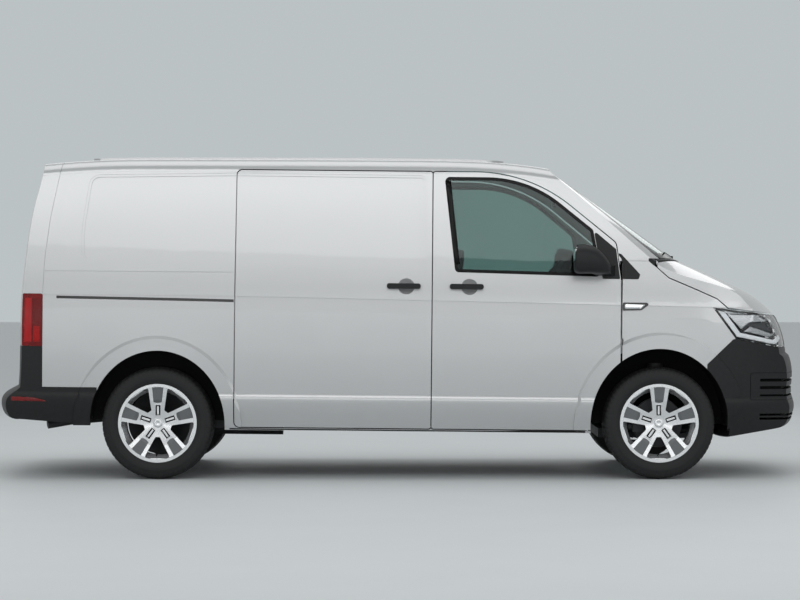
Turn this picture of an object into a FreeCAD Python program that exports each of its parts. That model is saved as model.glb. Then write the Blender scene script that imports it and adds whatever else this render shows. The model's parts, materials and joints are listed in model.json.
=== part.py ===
"""Panel van: a 4.9 m long, 2 m high delivery van with a glazed cab, two hinged cab doors, one sliding side
door, a top hinged tailgate, a bonnet and four wheels, the front pair steered.

Row frame: +X forward, +Y to the van's left, +Z up, millimetres. The origin is on the ground, midway between
the front and rear ends. Everything is drawn level in a frame of its own and then pitched nose down by the
stance angle about the Y axis, as the unladen van stands, so the axles are first carried into that frame.
"""
import FreeCAD, Part
import math
import os
from FreeCAD import Placement, Rotation, Vector

os.makedirs("parts", exist_ok=True)
doc = FreeCAD.newDocument("panel_van")

# Driving dimensions: alias, value, what it is
SIZES = [
    ("wheelbase", 3000, "front axle to rear axle"),
    ("front_overhang", 908, "front axle to front end"),
    ("rear_overhang", 996, "rear axle to rear end"),
    ("half_width", 952, "centre line to the widest point of the side"),
    ("roof_height", 1938, "crown of the roof skin, before the stance pitch"),
    ("stance", 0.55, "nose down pitch of the bodywork, degrees"),
    ("track_half", 814, "centre line to the middle of a tyre"),
    ("tyre_radius", 335, "outside of the tread"),
    ("tyre_width", 225, "across the sidewalls"),
    ("rim_radius", 235, "outside of the rim flange"),
    ("rim_width", 190, "across the rim flanges"),
    ("side_wall", 70, "side wall and door thickness"),
    ("roof_wall", 38, "roof thickness"),
    ("tail_wall", 48, "tailgate thickness"),
    ("bonnet_wall", 26, "bonnet thickness"),
    ("wing_wall", 30, "front wing thickness"),
    ("bumper_wall", 34, "bumper cover thickness"),
    ("flange", 18, "depth of the skin flange round a door"),
    ("pane", 5, "side and rear glass thickness"),
    ("pane_set", 9, "glass set back from the skin"),
    ("screen_pane", 13, "windscreen thickness measured along the van"),
    ("gap", 6.5, "shut line of a moving panel"),
    ("hinge_gap", 10, "shut line beside a hinge"),
    ("fit", 0.3, "clearance of a piece in its seat"),
    ("groove", 3.5, "width of the joint between fixed panels"),
    ("groove_depth", 5, "depth of that joint"),
    ("sill_bottom", 305, "lower edge of the side panels"),
    ("waist", 1087, "height of the waist crease at the rear"),
    ("waist_step", 7, "overhang of the waist crease"),
    ("stamp", 8, "depth of the blank window stampings"),
    ("floor_top", 540, "top of the load floor"),
    ("floor_plate", 36, "floor thickness"),
    ("arch_half", 413, "half width of a front wheel arch"),
    ("arch_rise", 446, "rise of a front wheel arch over the axle"),
    ("rear_arch_half", 403, "half width of a rear wheel arch"),
    ("rear_arch_rise", 436, "rise of a rear wheel arch over the axle"),
    ("flare", 13, "how far a wheel arch lip stands out"),
    ("door_set", 35, "front edge of a door ahead of its hinge pin"),
    ("pin_depth", 19, "hinge pin inboard of the door skin"),
    ("pin_radius", 4, "hinge pin"),
    ("steer_axis", 752, "centre line to the steering axis"),
    ("engine_length", 480, "engine and gearbox, along the van"),
    ("engine_width", 760, "engine and gearbox, across the van"),
    ("engine_height", 550, "engine and gearbox, sump to top"),
    ("engine_bottom", 400, "underside of the engine"),
    ("engine_behind", 60, "back of the engine behind the front axle"),
    ("engine_foot", 60, "engine mount, square"),
    ("radiator_width", 760, "radiator core, across the van"),
    ("radiator_height", 425, "radiator core"),
    ("radiator_depth", 55, "radiator core"),
    ("radiator_ahead", 560, "back of the radiator ahead of the front axle"),
    ("tank_length", 680, "fuel tank"),
    ("tank_width", 540, "fuel tank"),
    ("tank_height", 117.7, "fuel tank"),
    ("tank_radius", 30, "rounding of the tank's edges"),
]
sheet = doc.addObject("Spreadsheet::Sheet", "sizes")
for row, (alias, value, note) in enumerate(SIZES, 1):
    sheet.set(f"A{row}", alias)
    sheet.set(f"B{row}", str(value))
    sheet.setAlias(f"B{row}", alias)
    sheet.set(f"C{row}", note)
doc.recompute()


def size(alias):
    """A driving dimension from the sheet."""
    return float(sheet.get(alias))


FRONT_END = (size("front_overhang") + size("wheelbase") + size("rear_overhang")) / 2
FRONT_AXLE = FRONT_END - size("front_overhang")
REAR_AXLE = FRONT_AXLE - size("wheelbase")
HALF = size("half_width")
ROOF = size("roof_height")
GAP = size("gap")
HINGE_GAP = size("hinge_gap")
FIT = size("fit")
WALL = size("side_wall")
PITCH = math.radians(size("stance"))
STANCE = Placement(Vector(0, 0, 0), Rotation(Vector(0, 1, 0), size("stance")))
BIG = 4 * HALF


def to_level(x, z):
    """A point of the ground frame, in the level frame that the van is drawn in."""
    return x * math.cos(PITCH) - z * math.sin(PITCH), x * math.sin(PITCH) + z * math.cos(PITCH)


F, F_HUB = to_level(FRONT_AXLE, size("tyre_radius"))
R, R_HUB = to_level(REAR_AXLE, size("tyre_radius"))


# Curves and solids

def lengths(points):
    """Cumulative length along points, from 0 to 1."""
    steps = [math.dist(a, b) for a, b in zip(points, points[1:])]
    return [sum(steps[:i]) / sum(steps) for i in range(len(points))]


def spline(points, like=None):
    """Smooth curve through points. Curves of one loft share the spacing of a reference row of points."""
    curve = Part.BSplineCurve()
    curve.interpolate(Points=[Vector(*p) for p in points], Parameters=lengths(like or points))
    return curve.toShape()


def polyline(points):
    return [Part.makeLine(Vector(*a), Vector(*b)) for a, b in zip(points, points[1:])]


def corner_arc(before, corner, after, radius):
    """Start, middle and end of the arc that rounds a 2D corner."""
    a, c, b = (Vector(p[0], p[1], 0) for p in (before, corner, after))
    u, w = (a - c).normalize(), (b - c).normalize()
    half = math.acos(max(-1.0, min(1.0, u.dot(w)))) / 2
    reach = radius / math.tan(half)
    bisector = (u + w).normalize()
    centre = c + bisector * (radius / math.sin(half))
    return c + u * reach, centre - bisector * radius, c + w * reach


def outline(points, place):
    """Closed wire through (a, b) or (a, b, corner radius) points, put in space by place(a, b)."""
    pieces_of = []
    n = len(points)
    for i, p in enumerate(points):
        if len(p) > 2 and p[2] > 0:
            arc = corner_arc(points[i - 1], p, points[(i + 1) % n], p[2])
            pieces_of.append([Vector(*place(v.x, v.y)) for v in arc])
        else:
            pieces_of.append([Vector(*place(p[0], p[1]))])
    made = []
    for here, after in zip(pieces_of, pieces_of[1:] + pieces_of[:1]):
        if len(here) == 3:
            made.append(Part.Arc(*here).toShape())
        if here[-1].distanceToPoint(after[0]) > 1e-6:
            made.append(Part.makeLine(here[-1], after[0]))
    return Part.Wire(made)


def across(points, by=0, y_low=-BIG, y_high=0):
    """Solid across the right side (or y_low to y_high) from an outline in side view, grown by a distance."""
    face = Part.Face(outline(points, lambda a, b: (a, y_low, b)))
    if by:
        face = Part.Face(face.makeOffset2D(by).OuterWire)
    return face.extrude(Vector(0, y_high - y_low, 0))


def along(points, x_low, x_high, by=0):
    """Solid along the van from an outline in front view (y, z), grown by a distance."""
    face = Part.Face(outline(points, lambda a, b: (x_low, a, b)))
    if by:
        face = Part.Face(face.makeOffset2D(by).OuterWire)
    return face.extrude(Vector(x_high - x_low, 0, 0))


def upward(points, z_low, z_high):
    """Solid from an outline in plan (x, y)."""
    face = Part.Face(outline(points, lambda a, b: (a, b, z_low)))
    return face.extrude(Vector(0, 0, z_high - z_low))


def band(points, width, y_low=-BIG, y_high=0):
    """Solid across the right side that follows a curve in side view with a width."""
    low = spline([(a, y_low, b - width / 2) for a, b in points])
    high = spline([(a, y_low, b + width / 2) for a, b in points])
    ends = [Part.makeLine(low.Vertexes[i].Point, high.Vertexes[i].Point) for i in (0, 1)]
    face = Part.Face(Part.Wire(Part.__sortEdges__([low, high] + ends)))
    return face.extrude(Vector(0, y_high - y_low, 0))


def box(x0, x1, y0, y1, z0, z1):
    return Part.makeBox(x1 - x0, y1 - y0, z1 - z0, Vector(x0, y0, z0))


def rod(a, b, radius):
    a, b = Vector(*a), Vector(*b)
    return Part.makeCylinder(radius, (b - a).Length, a, b - a)


def ellipse_wire(x, z, half, rise, y):
    major = Part.Ellipse(Vector(x, y, z + rise), Vector(x + half, y, z), Vector(x, y, z))
    return Part.Wire(major.toShape())


def fuse(*shapes):
    made = shapes[0].multiFuse(list(shapes[1:])) if len(shapes) > 1 else shapes[0]
    return made.removeSplitter()


def mirrored(shape):
    return shape.mirror(Vector(0, 0, 0), Vector(0, 1, 0))


def halves(shape):
    """A right-hand half joined to its mirror image on the centre line."""
    return shape.multiFuse([mirrored(shape)])


def both(shape):
    """A right-hand piece and its left-hand twin, as one node."""
    return Part.makeCompound([shape, mirrored(shape)])


# The form of the body: a side form lofted along the van, cut by a profile form lofted across it

# station, inward taper of the side, drop of the roof
TAPER = [
    (R - 1240, 78, 112), (R - 880, 36, 66), (R - 700, 20, 44), (R - 540, 9, 29), (R - 250, 2, 13), (R, 0, 9),
    (R + 750, -2, 3), ((F + R) / 2, -2, 0), (F - 1250, -2, 1), (F - 1000, -2, 9), (F - 800, -1, 26),
    (F - 650, 0, 48), (F - 500, 1, 80), (F - 250, 4, 128), (F, 8, 150), (F + 300, 31, 150),
    (F + 560, 86, 150), (F + 760, 172, 150), (F + 940, 290, 150), (F + 1200, 470, 150),
]
CREASE = (-12, 507)
SIDE_LOW = [(-74, 150), (-47, 305), (-20, 390), (-5, 452), (-3, 482), CREASE]
SIDE_HIGH = [CREASE, (-8, 560), (-3, 660), (0, 800), (0, 960), (-2, 1076), (-12, 1180), (-27, 1290),
             (-50, 1450), (-78, 1640), (-113, 1832)]
ROOF_CORNER = [(-113, 1832), (-124, 1868), (-154, 1898), (-208, 1914)]
ROOF_FOOT = 1914
PAST = 80
CROWN = [(-740, 0), (-370, 18), (0, 24), (PAST, 24)]


def section(x, taper, drop, side_in, roof_in):
    """Cross section of the right side form at station x, carried a little past the centre line."""
    half = HALF - taper - side_in

    def lowered(z):
        return z - drop * max(0, z - 1500) / (ROOF_FOOT - 1500)

    low = [(x, -(half + dy), z) for dy, z in SIDE_LOW]
    high = [(x, -(half + dy), lowered(z)) for dy, z in SIDE_HIGH]
    corner = [(x, -(half + dy), lowered(z) - roof_in * min(1, (z - SIDE_HIGH[-1][1]) / 60))
              for dy, z in ROOF_CORNER]
    edge = half + ROOF_CORNER[-1][0]
    foot = ROOF_FOOT - roof_in - drop
    crown = [(x, y, foot + (ROOF - ROOF_FOOT) * (1 - (y / edge) ** 2)) for y in (-edge, -edge / 2, 0, PAST)]
    base = polyline([crown[-1], (x, PAST, low[0][2]), low[0]])
    rows = ((low, SIDE_LOW), (high, SIDE_HIGH), (corner, ROOF_CORNER), (crown, CROWN))
    return Part.Wire([spline(points, like) for points, like in rows] + base)


def side_form(side_in=0, roof_in=0):
    return Part.makeLoft([section(x, taper, drop, side_in, roof_in) for x, taper, drop in TAPER], True, False)


def profile_runs(y, front_in=0, tail_in=0, screen_in=0, bonnet_in=0):
    """Runs of the side view outline of the profile form in the plane at y: whether curved, and points."""
    u = y / 1000
    nose = 190 * u**2 + 16 * u**8
    screen_top = 34 * u**2 + 20 * u**4
    screen_foot = 130 * u**2 + 120 * u**4
    tail = R - 878 + 18 * u**2 + 74 * u**4 + tail_in
    drop = 38 * u**2 + 16 * u**6
    front = F - nose - front_in
    end = tail + 40 * u**4
    under = 0.12 * max(0, tail_in)
    bumper = [(end - 34, 338 - under), (end - 98, 360), (end - 118, 405), (end - 114, 462), (end - 62, 508),
              (tail - 10, 533)]
    rear = [bumper[-1], (tail - 4, 780), (tail + 1, 1090), (tail + 20, 1275), (tail + 68, 1590),
            (tail + 142, 1882), (tail + 150, 2120)]
    screen = [(F - 623 - screen_top - screen_in, 1856 - drop * 0.4),
              (F - 300 - (screen_top + screen_foot) / 2 - screen_in, 1648 - drop * 0.5),
              (F + 148 - screen_foot - screen_in, 1340 - drop * 0.5)]
    bonnet = [screen[-1], (F + 335 - screen_foot * 0.8, 1262 - drop - bonnet_in),
              (F + 500 - nose * 0.5, 1188 - drop - bonnet_in),
              (F + 655 - nose * 0.9, 1108 - drop - bonnet_in), (front + 790, 985 - drop * 0.5)]
    grille = [bonnet[-1], (front + 832, 880), (front + 852, 770)]
    face = [(front + 872, 752), (front + 888, 700), (front + 893, 600), (front + 893, 505), (front + 907, 458),
            (front + 903, 405), (front + 885, 352), (front + 830, 318)]
    return [(True, bumper), (True, rear), (False, [rear[-1], (F - 900, 2120), screen[0]]), (True, screen),
            (True, bonnet), (True, grille), (False, [grille[-1], face[0]]), (True, face),
            (False, [face[-1], (front + 400, 240), (tail + 600, 240), (tail + 520, 302 - under), bumper[0]])]


def profile(y, *insets):
    """Side view outline of the profile form in the plane at y."""
    edges = []
    for (curved, points), (_, like) in zip(profile_runs(y, *insets), profile_runs(0)):
        placed = [(a, y, b) for a, b in points]
        edges += [spline(placed, like)] if curved else polyline(placed)
    return Part.Wire(edges)


STATIONS = [-1060, -860, -620, -320, 0, 200]


def profile_form(front_in=0, tail_in=0, screen_in=0, bonnet_in=0):
    wires = [profile(y, front_in, tail_in, screen_in, bonnet_in) for y in STATIONS]
    return Part.makeLoft(wires, True, False)


def body_form(side_in=0, roof_in=0, front_in=0, tail_in=0, screen_in=0, bonnet_in=0):
    return side_form(side_in, roof_in).common(profile_form(front_in, tail_in, screen_in, bonnet_in))


# Outlines in side view (x, z, corner radius), tied to the axles

SILL = size("sill_bottom")
ROOF_SEAM = 735
HEADER = 1838
DOOR_TOP = 1842
DOOR_REAR = F - 1362
DOOR_FRONT = F - 240
SLIDE_FRONT = DOOR_REAR - GAP
SLIDE_REAR = R + 461
JOINT = 1318
LAMP_X = F + 404
REAR_SEAM = R - 690

DOOR = [
    (DOOR_REAR, DOOR_TOP, 12), (F - 787, DOOR_TOP, 900), (F - 270, 1425, 45), (DOOR_FRONT, 1210, 80),
    (DOOR_FRONT, SILL), (DOOR_REAR, SILL, 12),
]
SLIDE = [(SLIDE_REAR, DOOR_TOP, 30), (SLIDE_FRONT, DOOR_TOP, 12), (SLIDE_FRONT, SILL, 12), (SLIDE_REAR, SILL, 30)]
WINDOW = [
    (F - 1296, 1813, 30), (F - 792, 1813, 700), (F - 405, 1503, 25), (F - 352, 1222, 30), (F - 1229, 1241, 25),
]
LAMP = [(F + 314, 1044), (LAMP_X, 1038), (F + 731, 1000), (F + 960, 990), (F + 960, 800), (F + 708, 811, 30),
        (F + 454, 859, 12)]
WING = [
    (DOOR_FRONT + HINGE_GAP, JOINT), (F - 74, JOINT), (F - 20, 1275), (F + 46, 1217), (F + 220, 1145, 300),
    (F + 337, 1094), (LAMP_X, 1038), (F + 314, 1044), (F + 454, 859), (F + 438, 854), (F + 282, 705),
    (F + 282, 500), (DOOR_FRONT + HINGE_GAP, 500),
]
BONNET_SIDE = [
    (F - 40, 1291), (F + 46, 1217), (F + 220, 1145, 300), (F + 337, 1094), (LAMP_X, 1038), (F + 731, 1000),
    (F + 960, 990), (F + 960, 1500), (F - 40, 1500),
]
BUMPER_SIDE = [(F + 282, 200), (F + 282, 705), (F + 438, 854), (F + 454, 859, 12), (F + 708, 811, 30),
               (F + 960, 800), (F + 960, 200)]
INSERT = [(F + 549, 655, 12), (F + 1000, 655), (F + 1000, 492), (F + 549, 492, 12)]
BUMPER_REAR = [(R - 362, 200), (R - 362, 533), (REAR_SEAM, 533), (REAR_SEAM, 777), (R - 1200, 777),
               (R - 1200, 200)]
TAIL_LAMP = [(REAR_SEAM, 777), (REAR_SEAM, 1090, 12), (R - 1200, 1090), (R - 1200, 777)]
# The tailgate opening and its glass, in front view (y, z, corner radius)
TAIL_TOP = 1842
TAIL_OPEN = [
    (-795, 545), (-795, 1100, 300), (-775, 1275, 200), (-735, 1600, 400), (-690, TAIL_TOP, 40),
    (690, TAIL_TOP, 40), (735, 1600, 400), (775, 1275, 200), (795, 1100, 300), (795, 545),
]
TAIL_GLASS = [(-655, 1262, 60), (-610, 1768, 80), (610, 1768, 80), (655, 1262, 60)]
SCREEN = [(-812, 1338, 30), (-732, HEADER, 40), (732, HEADER, 40), (812, 1338, 30)]
GRILLE = [(-470, 1100), (470, 1100), (552, 770), (-552, 770)]


def arch_prism(front, extra=0, y_low=-BIG, y_high=BIG):
    """Elliptic solid across the van over an axle, larger than the wheel arch by extra."""
    if front:
        wire = ellipse_wire(F, F_HUB, size("arch_half") + extra, size("arch_rise") + extra, y_low)
    else:
        wire = ellipse_wire(R, R_HUB, size("rear_arch_half") + extra, size("rear_arch_rise") + extra, y_low)
    return Part.Face(wire).extrude(Vector(0, y_high - y_low, 0))


def arch_cone(front, steps):
    """Lofted frustums over an axle through (growth of the arch, y) steps."""
    x, z = (F, F_HUB) if front else (R, R_HUB)
    name = "arch" if front else "rear_arch"
    wires = [ellipse_wire(x, z, size(f"{name}_half") + e, size(f"{name}_rise") + e, y) for e, y in steps]
    return Part.makeLoft(wires, True, True)


def tail_prism(by=0):
    return along(TAIL_OPEN, -BIG, R - 500, by)


def ahead_of_cowl(back):
    """Everything ahead of the curved rear edge of the bonnet, moved back by a distance."""
    x, y = F - 20 - back, 900
    a, b, c = Vector(x, -y, 0), Vector(F + 205 - back, 0, 0), Vector(x, y, 0)
    rest = polyline([tuple(c), (x, 1100, 0), (F + 1200, 1100, 0), (F + 1200, -1100, 0), (x, -1100, 0), tuple(a)])
    return Part.Face(Part.Wire([Part.Arc(a, b, c).toShape()] + rest)).extrude(Vector(0, 0, 2200))


def waist_at(x):
    """Height of the waist crease: it falls a little towards the front."""
    return size("waist") - 40 * max(0, (x - SLIDE_REAR) / (F + 314 - SLIDE_REAR))


def waist_wedge():
    """Cutter that sets the side in below the waist crease, so that the crease overhangs."""
    wires = []
    for x, taper, _ in TAPER:
        if x < F + 700:
            half, z = HALF - taper, waist_at(x)
            points = [(x, -(half + 6), z + 1), (x, -(half - 2 - size("waist_step")), z), (x, -(half + 1), z - 92),
                      (x, -(half + 6), z - 92)]
            wires.append(Part.Wire(polyline(points + points[:1])))
    return Part.makeLoft(wires, True, False)


# The skin of the right half, with its flares, creases, joints and stampings

RIGHT = box(-BIG, BIG, -BIG, 0, -BIG, BIG)


def chunk(shape, x0, x1, z0=-BIG, z1=BIG, y0=-BIG, y1=BIG):
    """The part of a shape inside a box."""
    return shape.common(box(x0, x1, y0, y1, z0, z1))


def ring(points, width):
    """Thin closed band across the side that follows an outline."""
    return across(points, width / 2).cut(across(points, -width / 2))


plain = body_form().common(RIGHT)
flare_limit = side_form(-size("flare"))
flares = []
for is_front in (True, False):
    steps = [(104, -HALF + 60), (96, -HALF + 6), (70, -HALF - size("flare")), (70, -HALF - 60)]
    lip = arch_cone(is_front, steps).cut(box(-BIG, BIG, -BIG, 0, -BIG, SILL))
    flares.append(lip.common(flare_limit))
right = plain.multiFuse(flares)
STAMPING = [
    (R - 413, 1797, 60), (SLIDE_REAR, 1815), (F - 1413, 1811, 30), (F - 1411, 1258, 30), (SLIDE_REAR, 1275),
    (R - 451, 1286, 60), (R - 456, 1481, 900),
]
right = right.cut(waist_wedge())
right = right.cut(across(STAMPING, 9).cut(side_form(3)))
right = right.cut(across(STAMPING, -6).cut(side_form(size("stamp"))))
WIDE = size("groove")
rings = [ring(points, WIDE) for points in (LAMP, TAIL_LAMP, BUMPER_SIDE, BUMPER_REAR, INSERT)]
rings += [
    band([(REAR_SEAM + 4, 1226), (SLIDE_REAR - 10, 1228)], WIDE),
    band([(DOOR_FRONT + 4, JOINT), (F - 74, JOINT)], WIDE),
    across([(REAR_SEAM - 2, 1092), (REAR_SEAM - 2 + WIDE, 1092), (R - 684 + WIDE, 1308, 900),
            (R - 656 + WIDE, 1549, 900), (R - 591.5 + WIDE, 1890), (R - 591.5, 1890), (R - 656, 1549, 900),
            (R - 684, 1308, 900)]),
    box(REAR_SEAM - 100, F - 560, -ROOF_SEAM - WIDE, -ROOF_SEAM, HEADER, BIG),
]
groove_in = body_form(*[size("groove_depth")] * 6)
right = right.cut(Part.makeCompound([cutter.cut(groove_in) for cutter in rings]))
print("right skin", right.isValid(), len(right.Solids), len(right.Faces))

skin_in = body_form(size("flange"), size("flange"), size("flange"), size("flange"), 32, 14)
side_in = body_form(WALL, size("roof_wall"), size("bumper_wall"), size("tail_wall"), 60, size("bonnet_wall"))
wing_in = body_form(size("wing_wall"), size("roof_wall"), size("bumper_wall"), size("bumper_wall"), 60,
                    size("bonnet_wall"))
frame_out = side_form(WALL + 7, size("roof_wall") + 4)
frame_in = side_form(WALL + 47, size("roof_wall") + 24)
HOUSE = 16
LINER_FRONT = -858
LINER_REAR = -873
front_arch = arch_prism(True).fuse(arch_prism(True, HOUSE + FIT, LINER_FRONT - FIT, 0))
rear_arch = arch_prism(False).fuse(arch_prism(False, HOUSE + FIT, LINER_REAR - FIT, 0))


def frame(points, trim=None):
    """Inner pillar between the frame forms, inside an outline."""
    made = frame_out.common(across(points)).cut(frame_in)
    return made.cut(trim) if trim else made


def link(points):
    """The same pillar carried out to the wall behind the skin."""
    return side_in.common(across(points)).cut(frame_in)


FLOOR = size("floor_top")
PLATE = size("floor_plate")
FLOOR_LOW = FLOOR - 80
TRACK = size("track_half")
PIN = size("pin_radius")
pieces = {}

# Cab doors: a flanged skin over a set back inner panel, hung on two pins

pane_out = side_form(size("pane_set"))
pane_in = side_form(size("pane_set") + size("pane"))
slot_out = side_form(size("pane_set") - FIT)
slot_in = side_form(size("pane_set") + size("pane") + FIT)
door_hole = across(DOOR, GAP)
PIN_X = DOOR_FRONT - size("door_set")
PIN_Y = -(HALF - 4 - size("pin_depth"))
HINGES = (790, 1078)


def leaf(points):
    """Hinged or sliding panel: a flanged skin with a set back inner panel."""
    skin = right.common(across(points)).cut(skin_in)
    inner = skin_in.common(across(points, -15)).cut(side_in)
    return skin, inner


skin, inner = leaf(DOOR)
door = skin.cut(front_arch).multiFuse([inner.cut(arch_prism(True, 22))])
slot = slot_out.common(across(WINDOW, 12 + FIT)).cut(slot_in)
door = door.cut(across(WINDOW)).cut(slot)
arms = []
for z in HINGES:
    pocket = box(PIN_X - 17, DOOR_FRONT + 5, PIN_Y - 11, -HALF + 200, z - 21, z + 21)
    door = door.cut(pocket).cut(rod((PIN_X, PIN_Y, z - 36), (PIN_X, PIN_Y, z + 36), PIN + FIT))
    arms.append(fuse(box(PIN_X - 9, PIN_X + 9, PIN_Y, -HALF + 100, z - 15, z + 15),
                     rod((PIN_X, PIN_Y, z - 15), (PIN_X, PIN_Y, z + 15), 9),
                     rod((PIN_X, PIN_Y, z - 34), (PIN_X, PIN_Y, z + 34), PIN)))
DISH_Z, DISH_X = 1156, F - 1143
dish = Part.makeSphere(104, Vector(DISH_X, -(HALF - 6 + 90), DISH_Z + 8))
pieces["door_right"] = door.cut(dish)
pieces["glass_right"] = pane_out.common(across(WINDOW, 12)).cut(pane_in)


def handle(x, z):
    """Pull handle: a bar on two feet, flat at its ends."""
    y = -(HALF - 8)
    bar = across([(x - 118, z - 16, 14), (x - 118, z + 16, 14), (x + 84, z + 16, 14), (x + 84, z - 16, 14)],
                 0, y - 40, y - 14)
    cap = box(x - 120, x + 90, y - 34, y - 10, z - 30, z + 30)
    bar = bar.common(rod((x, y + 212, z), (x, y + 212.5, z), 1).fuse(rod((x, y + 470, z - 40), (x, y + 470, z + 40),
                                                                          508)))
    feet = [box(x + a, x + b, y - 26, y + 30, z - 14, z + 14) for a, b in ((-112, -74), (56, 78))]
    return fuse(bar, *feet).cut(side_form(-FIT))


pieces["handle_right"] = handle(DISH_X, DISH_Z)


def mirror_case():
    """Mirror housing lofted forwards from its rim, with an arm to the sail plate."""
    stations = [(0, 88, 70, 1322), (14, 96, 82, 1325), (60, 98, 87, 1327), (125, 92, 78, 1318),
                (165, 80, 62, 1302), (195, 60, 44, 1285), (215, 34, 24, 1268)]
    wires = []
    for dx, a, b, z in stations:
        y = -(HALF + 100) + dx * 0.12
        points = []
        for k in range(16):
            t = 2 * math.pi * k / 16
            c, d = math.cos(t), math.sin(t)
            points.append(Vector(F - 526 + dx, y + a * math.copysign(abs(c) ** 0.8, c),
                                 z + b * math.copysign(abs(d) ** 0.8, d)))
        curve = Part.BSplineCurve()
        curve.interpolate(Points=points, PeriodicFlag=True, Parameters=[k / 16 for k in range(17)])
        wires.append(Part.Wire(curve.toShape()))
    case = Part.makeLoft(wires, True, False)
    arm = Part.makeLoft([Part.Wire(polyline([(x, y, z0), (x, y, z1), (x + w, y, z1), (x + w, y, z0), (x, y, z0)]))
                         for x, w, y, z0, z1 in ((F - 430, 110, -(HALF + 60), 1246, 1282),
                                                 (F - 366, 112, -(HALF - 60), 1220, 1292))], True, True)
    return fuse(case, arm)


plate_out = side_form(-4)
plate_foot = side_form(-FIT)


def plate(points):
    """Thin plate on the skin."""
    return plate_out.common(across(points)).cut(plate_foot)


SAIL_PLATE = [(F - 402, 1500, 10), (F - 268, 1388, 10), (F - 244, 1210, 6), (F - 348, 1210, 6)]
pieces["mirror_right"] = mirror_case().cut(plate_foot).multiFuse([plate(SAIL_PLATE)])
FIXED_SAIL = [(F - 249, 1372, 4), (F - 124, 1238, 8), (F - 134, 1210, 8), (F - 228, 1210, 4), (F - 228, 1300)]
pieces["trim"] = both(plate(FIXED_SAIL))

# Sides: the wall round the doors, pillars and sill behind them

TAIL_PIN = (R - 724, TAIL_TOP - 53)
tail_hole = tail_prism(GAP).fuse(box(-BIG, R - 500, -650, 650, TAIL_TOP - 60, TAIL_TOP + HINGE_GAP))
roof_box = box(-BIG, BIG, -ROOF_SEAM, ROOF_SEAM, HEADER, BIG)
region = across([(-BIG, SILL - 19), (-BIG, BIG), (F + 400, BIG), (F + 400, JOINT + FIT), (F - 180, JOINT + FIT),
                 (F - 180, SILL - 19)])
front_block = box(DOOR_FRONT - 5, F + 800, -BIG, 0, 100, JOINT + FIT)
screen_hole = along(SCREEN, F - 760, F + 400, -26)
screen_seat = along(SCREEN, F - 760, F + 400, FIT).cut(profile_form(0, 0, size("screen_pane") + 2, 15))
below_screen = box(F - 900, F + 400, -812, 0, 1200, 1380)
cowl_block = box(F - 74, F + 400, -BIG, 0, 1200, 1335 + FIT)
side = right.common(region)
for cutter in (roof_box, side_in, tail_hole, door_hole, front_block, screen_hole, below_screen, cowl_block,
               across(BUMPER_REAR, FIT), across(TAIL_LAMP, FIT), rear_arch, front_arch):
    side = side.cut(cutter)
side = side.cut(screen_seat)
B_POST = [(DOOR_REAR - 70, 1900), (DOOR_REAR + 60, 1900), (DOOR_REAR + 60, 290), (DOOR_REAR - 70, 290)]
A_POST = [(F - 330, JOINT + 60), (F - 200, JOINT + 60), (F - 200, 780), (F - 330, 700)]
pillar = frame(B_POST)
hinge_pillar = frame(A_POST, arch_prism(True, 20))
link_front = link([(F - 262, 1330), (F - 100, 1330), (F - 100, 1430), (F - 262, 1450)])
for cutter in (door_hole, screen_hole, cowl_block, below_screen):
    link_front = link_front.cut(cutter)
cant = link([(R - 600, 1900), (F - 640, 1900), (F - 640, 1856), (R - 600, 1856)]).cut(roof_box)
sill = box(R + 425, F - 435, -HALF, -760, 288, FLOOR_LOW - FIT).common(frame_out)
strip = box(R + 425, F - 435, -HALF + 50, -790, 288, SILL - GAP)
side_frame = side.multiFuse([pillar, hinge_pillar, link_front, cant, sill, strip] + arms)
slide_hole = across(SLIDE, GAP)
C_POST = [(SLIDE_REAR - 120, 1850), (SLIDE_REAR + 30, 1850), (SLIDE_REAR + 30, 470), (SLIDE_REAR - 120, 470)]
rear_post = frame(C_POST, arch_prism(False, 20))
post_link = link([(SLIDE_REAR - 110, 1850), (SLIDE_REAR - 30, 1850), (SLIDE_REAR - 30, 900),
                  (SLIDE_REAR - 110, 900)])
RAIL_LINE = [(R - 608, 1071), (R - 250, 1067), (R + 100, 1063), (SLIDE_REAR - 9, 1058)]
channel = band(RAIL_LINE, 17).cut(slot_in)
pieces["slide_rail"] = chunk(pane_out.common(band(RAIL_LINE, 16.4)).cut(pane_in), -BIG, SLIDE_REAR - 10)
pieces["side_frame_left"] = mirrored(side_frame)
pieces["side_frame_right"] = side_frame.cut(slide_hole).cut(channel).multiFuse([rear_post, post_link])

# Sliding door: the same build, resting on pads against the pillars

pad_out = side_form(WALL - 1, size("roof_wall"))
pad_in = side_form(WALL + 7 - FIT)
pads = [chunk(pad_out, x, x + 34, z, z + 90).cut(pad_in) for x in (SLIDE_FRONT - 58, SLIDE_REAR + 16)
        for z in (560, 1500)]
skin, inner = leaf(SLIDE)
slide_dish_x = F - 1520
slide = skin.multiFuse([inner] + [pad.common(RIGHT) for pad in pads])
pieces["sliding_door"] = slide.cut(Part.makeSphere(104, Vector(slide_dish_x, -(HALF - 6 + 90), DISH_Z + 8)))
pieces["handle_side"] = handle(slide_dish_x + 2, DISH_Z)

# Roof, windscreen and the trim at its foot

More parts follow.
